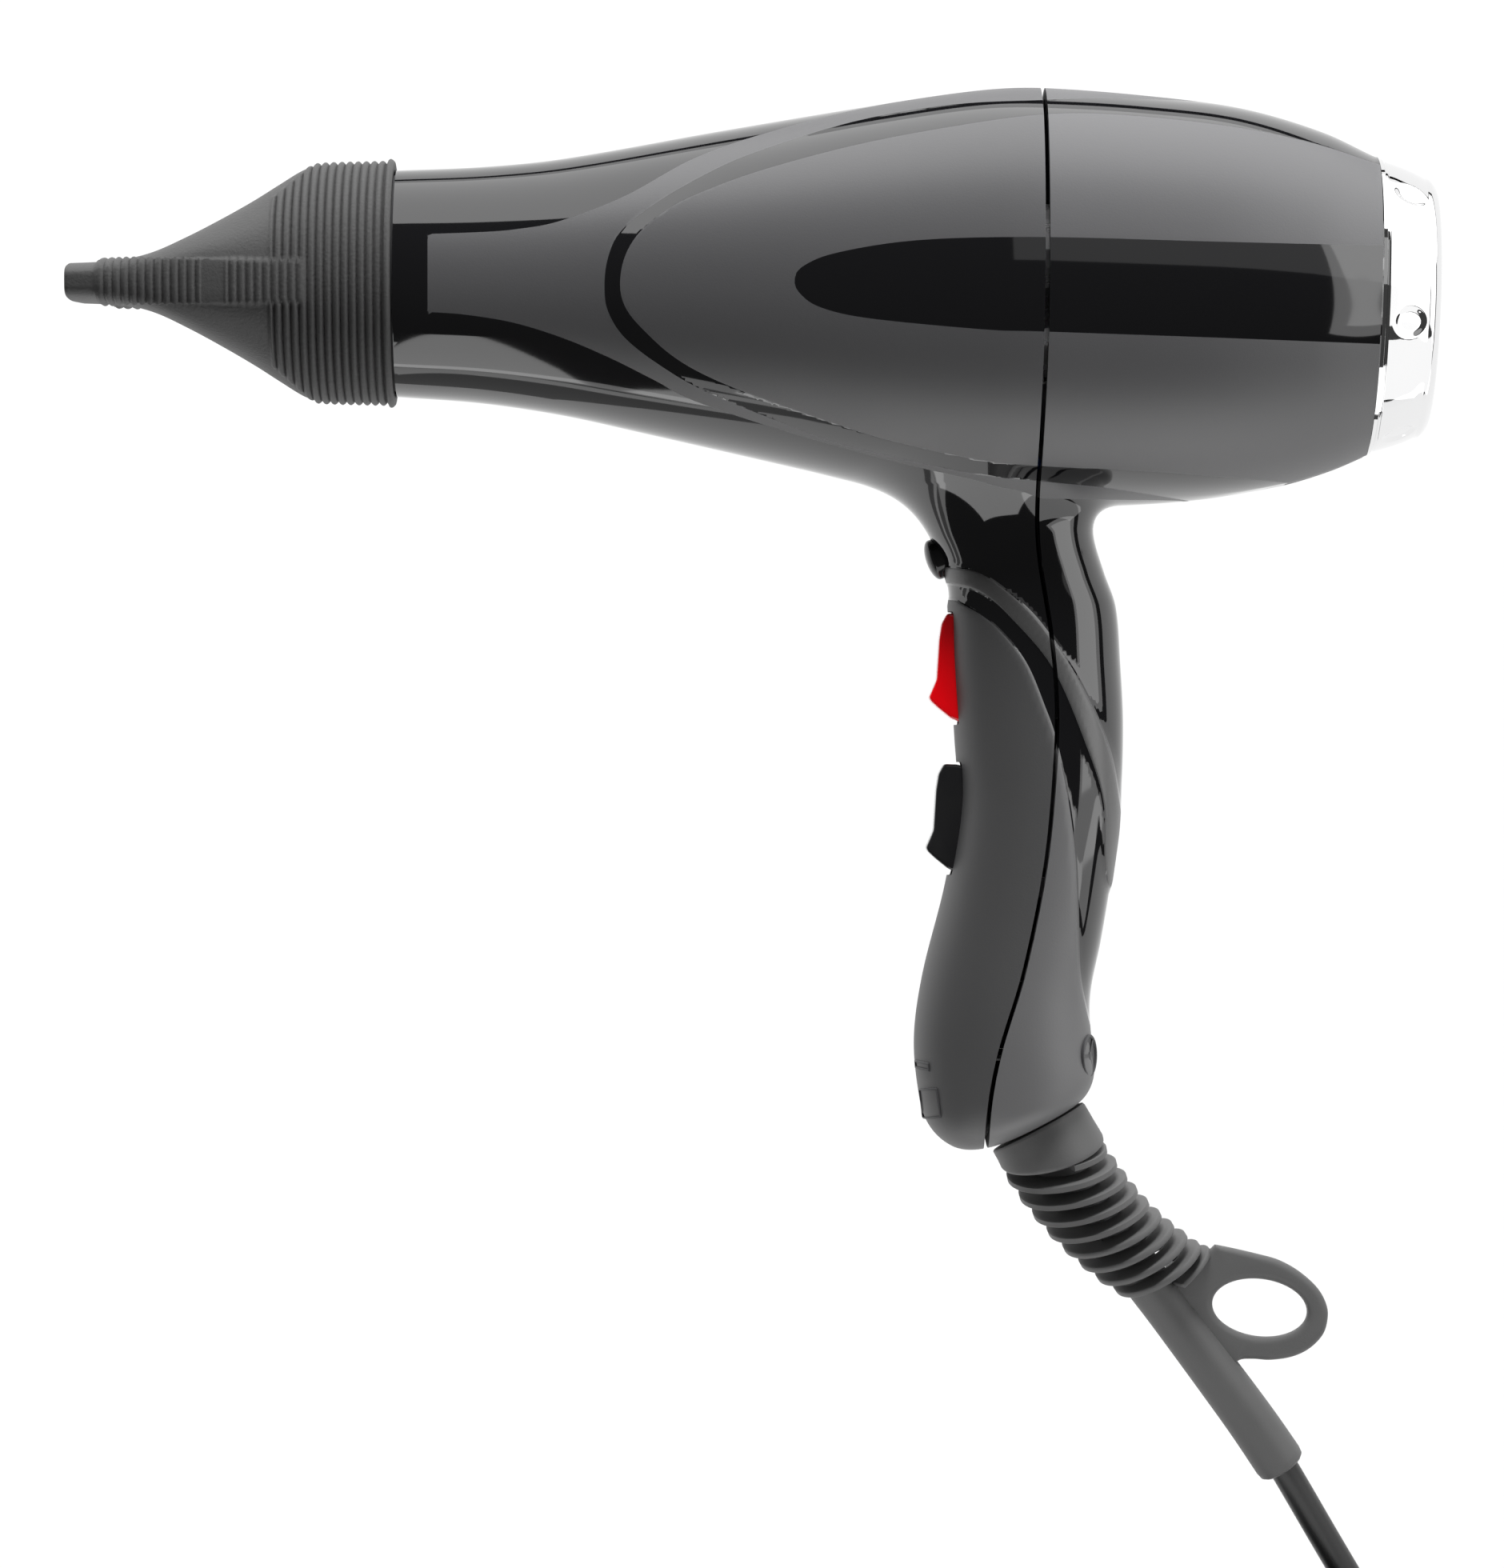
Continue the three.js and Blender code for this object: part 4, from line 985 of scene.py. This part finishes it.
def foot_marks():
    """The screw's cap at the back of the foot, and two blank raised marks at its front."""
    tilt = math.radians(21)
    axis = (math.cos(tilt), 0, math.sin(tilt))
    skin_point, _ = skin_along((-7.9, -153.6, 0), axis)
    place = skin_point - 0.3 * np.array(axis)
    rim = [(4.25, -1.2), (4.25, 0.3), (4.1, 0.45), (3.75, 0.45), (3.6, 0.3), (3.55, 0.12)]
    rim += [(0.9, 0.12), (0.8, 0.4), (0.3, 0.45)]
    cap = [turned("cap", rim, place, axis, 72, closed=False)]
    side, up = np.array([0, 1.0, 0]), np.cross(axis, (0, 1.0, 0))
    for k in range(3):
        angle = math.radians(90 + 120 * k)
        out = math.cos(angle) * side + math.sin(angle) * up
        across = np.cross(axis, out)
        ends = []
        corners = [(-0.3, 0.05), (-0.3, 0.36), (0.3, 0.36), (0.3, 0.05)]
        for r in (0.6, 3.7):
            ends.append([place + r * out + a * across + b * np.array(axis) for a, b in corners])
        cap.append(grid_object("spoke", np.array(ends), caps=True))
    settle(join("screw_cap_fine", *cap), MAT["nylon"], "dryer_body", ["screw_cap"])
    frame_outline = [(-24.6, -160.4), (-21.4, -160.0), (-20.6, -165.6), (-23.8, -166.2)]
    marks = join(
        "foot_marks",
        raised_line("frame", frame_outline),
        raised_line("bar", [(-25.4, -154.7), (-23.0, -155.1), (-22.9, -156.4), (-25.3, -156.0)], 0.5),
    )
    settle(marks, MAT["nylon"], "dryer_body")


# ---------------------------------------------------------------- bend guard
# Each point is the guard's middle as seen from the camera, with its height above the middle plane.
GUARD = [
    (-1.1, -167.6, 0), (1.9, -172.9, -0.5), (3.9, -176.9, -1.6), (6.2, -180.1, -3.0),
    (8.6, -183.2, -4.4), (11.2, -186.4, -5.8), (14.0, -189.6, -7.2), (17.0, -193.6, -8.8),
    (20.6, -198.6, -10.8), (24.8, -204.0, -12.9), (28.5, -208.9, -14.6), (35.2, -217.9, -17.6),
    (42.0, -227.2, -20.4), (48.0, -236.0, -22.7),
]
# The fin's middle at each of its turns, which drifts to one side of the guard's.
FIN_MIDDLE = [
    (0.1, -170.3, 0), (3.9, -176.9, -1.6), (6.2, -180.1, -3.0), (8.6, -183.2, -4.4), (11.2, -186.2, -5.7),
    (14.0, -189.0, -7.0), (16.9, -191.6, -8.2), (19.9, -194.0, -9.4), (23.1, -196.1, -10.6),
    (26.2, -198.2, -11.8),
]
FIN_TURNS = 8.35
DROOP = math.radians(17)


def seen_line(points):
    p = np.array(points)
    return from_view(p[:, :2], p[:, 2])


def guard_frame(lean):
    """The normal, side and up vectors of the plane across the guard, where its fins lie at that lean."""
    level, down = math.cos(DROOP), np.full(len(lean), -math.sin(DROOP))
    normal = np.stack([np.cos(lean) * level, -np.sin(lean) * level, down], axis=1)
    side = np.stack([np.sin(lean), np.cos(lean), np.zeros(len(lean))], axis=1)
    return normal, side, np.cross(side, -normal)


def spiral_fin():
    """The guard's ribs: one fin that winds round it toward the sleeve."""
    middle = seen_line(FIN_MIDDLE)
    turn_at = np.arange(len(middle)) - 0.06
    turn_at[0] = -1
    line = [smooth(list(zip(turn_at, middle[:, k]))) for k in range(3)]
    turn = np.linspace(0, FIN_TURNS, int(FIN_TURNS * 80))
    centre = np.stack([f(turn) for f in line], axis=1)
    angle = math.radians(70) - 2 * np.pi * turn
    lean = np.radians(np.interp(turn, [0, 0.94, 7.94], [80, 76.5, 54.5]))
    normal, side, up = guard_frame(lean)
    reach = np.interp(turn, [0, 0.94, 7.94, FIN_TURNS], [10.6, 10.75, 9.35, 9.0])
    root = 4.6
    section = rounded([(0, -1.0), (1, -0.74), (1, 0.74), (0, 1.0)], 0.22, 3)
    out = np.cos(angle)[:, None] * side + np.sin(angle)[:, None] * up
    radius = root + (reach - root)[:, None] * section[None, :, 0]
    grid = centre[:, None] + radius[:, :, None] * out[:, None] + section[None, :, 1, None] * normal[:, None]
    return grid_object("fin", grid, caps=True)


def guard_core():
    """The collar, the core inside the fin and the plain sleeve, as one tube."""
    line = evenly(spline(seen_line(GUARD), 16), 400)
    along = length_along(line)
    profile = [
        (0.3, 9.2), (0.45, 10.1), (0.8, 10.3), (3.5, 10.4), (6.0, 10.65), (6.5, 10.5), (6.8, 10.0),
        (6.95, 5.9), (9, 5.7), (20, 5.4), (28, 4.9), (33, 4.65), (40, 4.65), (50, 4.75), (60, 4.85),
        (70, 4.95), (78, 5.05), (83, 5.1), (84.2, 4.9), (84.7, 4.3),
    ]
    s, r = np.array(profile).T
    s = np.where(s > 8, s * along[-1] / 84.7, s)
    fine = np.unique(np.concatenate([s, np.linspace(s[0], s[-1], 170)]))
    radius = np.interp(fine, s, r)
    centre = np.stack([np.interp(fine, along, line[:, k]) for k in range(3)], axis=1)
    side, up = frames_along(centre)
    _, lean_side, lean_up = guard_frame(np.radians(np.interp(fine, [0.3, 6.8], [61.5, 74])))
    free = ramp(fine, 12, 34)[:, None]
    side = unit(-lean_side * (1 - free) + side * free)
    up = lean_up * (1 - free) + up * free
    tip = np.interp(fine, [0.3, 6], [1, 0])[:, None]
    up = unit(up * (1 - tip) + np.array([0, 0, 1.0]) * tip)
    c, s = circle(80)
    ring = c[None, :, None] * side[:, None] + s[None, :, None] * up[:, None]
    return grid_object("core", centre[:, None] + radius[:, None, None] * ring, caps=True)


# The outer edge of the hanging loop, and its oval eye.
LOOP = [
    (34.5, -191.6), (38.4, -192.4), (43.1, -193.5), (47.3, -194.7), (51.4, -197.0), (55.0, -200.3),
    (56.8, -203.8), (56.9, -206.8), (55.9, -209.7), (53.2, -212.4), (49.7, -214.0), (45.5, -214.6),
    (42.0, -214.4), (39.2, -214.7), (37.4, -216.9),
]
EYE = {"x": 43.4, "y": -204.2, "long": 9.55, "short": 5.75, "tilt": math.radians(-8)}


def hanging_loop():
    """The flat eye beside the sleeve, with rounded edges."""
    outer = np.vstack([[(24.4, -201.0)], spline(LOOP, 8), [(33.6, -213.4)]])
    outer = evenly(np.vstack([outer, outer[:1]]), 181)[:-1]
    ray = np.arctan2(outer[:, 1] - EYE["y"], outer[:, 0] - EYE["x"])
    # The eye's point in the same direction as each outer point.
    turned_ray = ray - EYE["tilt"]
    reach = 1 / np.hypot(np.cos(turned_ray) / EYE["long"], np.sin(turned_ray) / EYE["short"])
    inner = np.stack([EYE["x"] + reach * np.cos(ray), EYE["y"] + reach * np.sin(ray)], axis=1)
    inward = unit(inner - outer)
    edge = [(0, 0.9), (0.12, 1.5), (0.45, 2.0), (0.95, 2.3), (1.5, 2.4)]
    rings = []

    def lay(flat, rise):
        along = (flat[:, 0] - 28.5) * 0.594 - (flat[:, 1] + 208.9) * 0.804
        z = -14.6 - 0.29 * along
        rings.append(from_view(flat, z) + np.array([0, 0, rise]))

    # Up the outer edge and over the top to the eye, then down the eye and under to the outer edge.
    for start, end, way, side in ((outer, inner, inward, 1), (inner, outer, -inward, -1)):
        for inset, rise in edge:
            lay(start + way * inset, side * rise)
        for inset, rise in reversed(edge):
            lay(end - way * inset, side * rise)
    return grid_object("loop", np.array(rings), closed_rows=True)


def end_plate():
    """The half fin that the loop's web grows from."""
    normal, side, up = (vectors[0] for vectors in guard_frame(np.radians(np.full(1, 50.0))))
    middle = from_view([(25.0, -199.2)], -12.0)[0]
    angle = np.radians(np.linspace(-80, 80, 41))
    arc = [10.9 * math.cos(a) * side + 7.2 * math.sin(a) * up for a in angle]
    rim = middle + np.array([np.zeros(3), *arc])
    obj = prism("end_plate", rim - 0.6 * normal, rim + 0.6 * normal)
    soften(obj, 0.3, 2)
    return obj


def bend_guard():
    guard = join("bend_guard_fine", guard_core(), spiral_fin(), hanging_loop(), end_plate())
    settle(guard, MAT["rubber"], "dryer_body", ["bend_guard"], sharp=45)


# ---------------------------------------------------------------- cord and plug
COIL = {"x": 43.0, "y": -309.0, "inner": 24, "outer": 42, "layers": 4, "turns": 3}
CORD_EXIT = (50.4, -239.2, -23.1)
IN_SLEEVE = (46.6, -233.2, -21.6)
CORD_LEAD = [(58.4, -252.8, -28.4), (65.8, -265.2, -32.6), (72.6, -276.6, -35.2)]
PLUG_TOP = 13.6


def cord_points():
    """The cord's route: down to the table, round the coil in four layers, and off its top to the plug."""
    lying = TABLE_Z + CORD_R
    lead = list(spline([IN_SLEEVE, CORD_EXIT, *CORD_LEAD], 3))
    angle = math.radians(24)
    per_turn = 18
    step = 2 * math.pi / per_turn
    last = COIL["layers"] - 1
    coil = []

    def on_coil(radius, height):
        x, y = COIL["x"] + radius * math.cos(angle), COIL["y"] + radius * math.sin(angle)
        coil.append((x, y, lying + height))

    for layer in range(COIL["layers"]):
        level = 2 * CORD_R * layer
        start, end = (COIL["outer"], COIL["inner"])[:: 1 if layer % 2 == 0 else -1]
        across = steps = COIL["turns"] * per_turn
        if layer == last:
            # The top layer goes on until the cord leaves the coil toward the plug.
            extra = (angle + math.pi / 2 - COIL["turns"] * 2 * math.pi) % (2 * math.pi)
            steps += int(round(extra / step))
        for i in range(steps):
            on_coil(start + (end - start) * min(1, i / across), level)
            angle -= step
        if layer < last:
            for k in range(3):
                on_coil(end, level + 2 * CORD_R * float(ramp((k + 0.5) / 3, 0, 1)))
                angle -= step
    top = lying + 2 * CORD_R * last
    plug_z = TABLE_Z + PLUG_TOP
    heights = [(7, top), (14, top - 0.4), (26, top - 1.8), (34, top - 4.6), (41, plug_z + 0.6), (50, plug_z)]
    tail = [(COIL["x"] - out, COIL["y"] - COIL["outer"], z) for out, z in heights]
    return lead + coil + tail


def cord():
    """The mains cord as one round curve."""
    points = cord_points()
    curve = bpy.data.curves.new("mains_cord", "CURVE")
    curve.dimensions = "3D"
    curve.bevel_depth = CORD_R / 1000
    curve.bevel_resolution = 6
    curve.resolution_u = 4
    curve.use_fill_caps = True
    line = curve.splines.new("NURBS")
    line.points.add(len(points) - 1)
    for point, place in zip(line.points, row(points)):
        point.co = (*place, 1)
    line.order_u = 4
    line.use_endpoint_u = True
    obj = show("mains_cord", curve)
    obj.data.materials.append(MAT["cord"])
    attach(obj, "dryer_body")
    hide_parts("cord_lead", "cord_coil", "cord_tail")


def cord_tie():
    """A clip that holds the coil's turns together."""
    x, y, z = COIL["x"], COIL["y"], TABLE_Z
    legs = [(18.3, 0), (20.1, 0), (20.1, 24.5), (45.5, 24.5), (45.5, 0), (47.5, 0)]
    legs += [(47.5, 26.3), (18.3, 26.3)]
    side = rounded(legs, 0.8, 3)
    near = np.column_stack([np.full(len(side), x - 2.9), y + side[:, 0], z + side[:, 1]])
    obj = prism("cord_tie_fine", near, near + (5.8, 0, 0))
    soften(obj, 0.35)
    settle(obj, MAT["nylon"], "dryer_body", ["cord_tie"])


def plug():
    """A two-pin plug lying flat beside the coil, with finger ridges on its sides."""
    tail_x, y0, z0 = -5.0, COIL["y"] - COIL["outer"], TABLE_Z + PLUG_TOP
    deep = smooth([(0, 4.5), (14, 5.1), (22, 9), (30, 12.5), (44, 13.1), (47, 12.3)])
    wide = smooth([(0, 4.5), (14, 5.5), (22, 12), (30, 16.5), (44, 17.3), (47, 16.5)])
    around = 96
    c, s = circle(around)
    cy, cz = squared(c, 2.6), squared(s, 2.6)
    rings = []
    for at in np.concatenate([np.linspace(0, 46.6, 150), [46.8, 46.9]]):
        shrink = 0.25 * float(ramp(at, 46.2, 46.9)) + 0.3 * float(1 - ramp(at, 0, 0.5))
        ridges = 0.45 * math.sin(math.pi * (at - 25) / 1.6) ** 2 if 25 < at < 41 else 0
        slots = 0.7 * math.sin(math.pi * at / 2.2) ** 2 if 2.2 < at < 13.2 else 0
        flat = np.abs(c) ** 2 * ridges + slots
        y = y0 + (wide(at) - shrink - flat) * cy
        z = z0 + (deep(at) - shrink - slots) * cz
        rings.append(np.stack([np.full(around, tail_x - at), y, z], axis=1))
    body = grid_object("plug_moulding", np.array(rings), caps=True)
    settle(body, MAT["rubber"], "dryer_body", ["plug_body"])
    for k, side in enumerate((-1, 1)):
        y = y0 + side * 9.5
        pin = [(2.35, 40), (2.35, 47), (2.35, 57), (2.2, 57.05), (2.2, 64.6), (2.0, 65.4), (1.5, 65.9)]
        pin += [(0.7, 66.0)]
        pin = turned(f"plug_pin_fine_{k + 1}", pin, (tail_x, y, z0), (-1, 0, 0), 48, closed=False)
        settle(pin, MAT["steel"], "dryer_body", [f"plug_pin_{k + 1}"])


# ---------------------------------------------------------------- what the CAD frame shows as it is
KEPT = {
    "steel": ["housing_screw", "motor_can", "motor_shaft", "front_bearing", "rear_bearing", "impeller_nut",
              "clamp_screw", "thermostat", "outlet_grille"],
    "copper": ["heater_coil", "motor_armature"],
    "mica": ["heater_sleeve", "heater_cross"],
    "nylon": ["motor_end_cap", "fan_housing", "impeller", "cord_clamp", "terminal_block", "cool_shot_switch",
              "speed_switch", "heat_switch"],
    "dark_steel": ["filter_mesh"],
    "board": ["rectifier_board"],
    "film": ["noise_capacitor"],
    "wire": ["live_wire", "neutral_wire", "heater_lead", "thermal_fuse"],
    "cord": ["supply_tail"],
}


def dress_kept_nodes():
    for look, names in KEPT.items():
        for name in names:
            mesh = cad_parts[name].data
            mesh.materials.clear()
            mesh.materials.append(MAT[look])


# ---------------------------------------------------------------- stage
WHITE = (1, 1, 1, 1)


def glowing(name, tone, rough, glow):
    """A matt surface that glows evenly."""
    return material(
        name, tone, rough, Specular_IOR_Level=0.0, Emission_Color=WHITE, Emission_Strength=glow
    )


def stage():
    """A plain white table just under the dryer."""
    bpy.ops.mesh.primitive_plane_add(size=3.0, location=(0, 0, -0.0005))
    floor = bpy.context.object
    floor.name = "table"
    floor.data.materials.append(glowing("white_table", 0.02, 0.9, 1.0))


def place_camera():
    data = bpy.data.cameras.new("camera")
    data.sensor_fit = "VERTICAL"
    data.sensor_height = 24
    data.lens = 24 * EYE_HEIGHT / VIEW_TALL
    camera = show("camera", data)
    camera.location = row((*VIEW_CENTRE, EYE_HEIGHT))
    bpy.context.scene.camera = camera


def card(name, centre, target, width, height, brightness):
    """A soft light of one even brightness, in drawing space, which the camera doesn't see."""
    data = bpy.data.lights.new(name, "AREA")
    data.shape = "RECTANGLE"
    data.size = width / 1000
    data.size_y = height / 1000
    data.energy = brightness * math.pi * width * height / 1e6
    lamp = show(name, data)
    lamp.location = row(centre)
    aim = Vector(row(target)) - Vector(row(centre))
    lamp.rotation_euler = aim.to_track_quat("-Z", "Z").to_euler()
    lamp.visible_camera = False
    return lamp


def graded_card(name, x0, x1, y, z0, z1, low, high):
    """A soft standing card, facing the dryer, that is dimmer at its foot; the camera doesn't see it."""
    obj = new_object(name, [(x0, y, z0), (x1, y, z0), (x1, y, z1), (x0, y, z1)], [(0, 1, 2, 3)])
    m = bpy.data.materials.new(name)
    m.use_nodes = True
    tree = m.node_tree
    tree.nodes.clear()
    foot, head = (float(row((0, 0, z))[2]) for z in (z0, z1))
    place = add_node(tree, "TexCoord")
    split = add_node(tree, "SeparateXYZ", Vector=place.outputs["Object"])
    grade = add_node(
        tree, "MapRange", Value=split.outputs["Z"], From_Min=foot, From_Max=head, To_Min=low, To_Max=high
    )
    glow = add_node(tree, "Emission", Strength=grade.outputs["Result"])
    add_node(tree, "OutputMaterial", Surface=glow.outputs["Emission"])
    obj.data.materials.append(m)
    obj.visible_camera = False
    obj.visible_shadow = False


def flag(name, x0, x1, y0, y1, glow):
    """A strip on the table that only reflections see, which sets how dark the table looks in the gloss."""
    z = TABLE_Z + 0.6
    obj = new_object(name, [(x0, y0, z), (x1, y0, z), (x1, y1, z), (x0, y1, z)], [(0, 1, 2, 3)])
    obj.data.materials.append(glowing(name, 0, 1.0, glow))
    obj.visible_camera = False
    obj.visible_diffuse = False
    obj.visible_shadow = False
    obj.visible_transmission = False


def lights():
    """Soft cards round the dryer, and the strips that shape what its gloss reflects."""
    world = bpy.data.worlds.new("studio")
    world.use_nodes = True
    feed_all(world.node_tree, world.node_tree.nodes["Background"], {"Color": WHITE, "Strength": 0.05})
    bpy.context.scene.world = world
    graded_card("upper_card", -420, 340, 105, -38, 82, 1.85, 1.95)
    card("lower_card", (-5, -430, 160), (-5, -60, 160), 420, 380, 1.6)
    card("rear_card", (360, 130, 250), (60, 130, 250), 380, 576, 1.15)
    shine = card("handle_shine", (358, 180, 250), (58, 180, 250), 280, 576, 1.0)
    shine.visible_diffuse = False
    card("lower_rear_card", (300, -260, 130), (60, -20, 60), 300, 320, 1.1)
    card("upper_fill", (440, 530, 848), (440, 0, 0), 980, 680, 0.3)
    key = card("upper_key", (-60, 1070, 510), (-60, 0, 0), 600, 300, 62)
    key.visible_glossy = False
    left_fill = card("left_fill", (-330, -330, 120), (-20, -110, 10), 240, 240, 2.0)
    left_fill.visible_glossy = False
    flag("upper_flag", -400, 340, 82, 92, 0.0)
    flag("lower_flag", -420, -190, -420, -74, 0.3)
    flag("bright_flag", -190, -150, -420, -74, 1.2)
    flag("near_flag", -150, -112, -420, -84, 0.3)


place_camera()
cord_tie()
plug()
cord()
housings()
foot_marks()
nozzle()
air_inlet()
controls()
bend_guard()
dress_kept_nodes()
stage()
lights()

scene = bpy.context.scene
scene.view_settings.view_transform = "Standard"
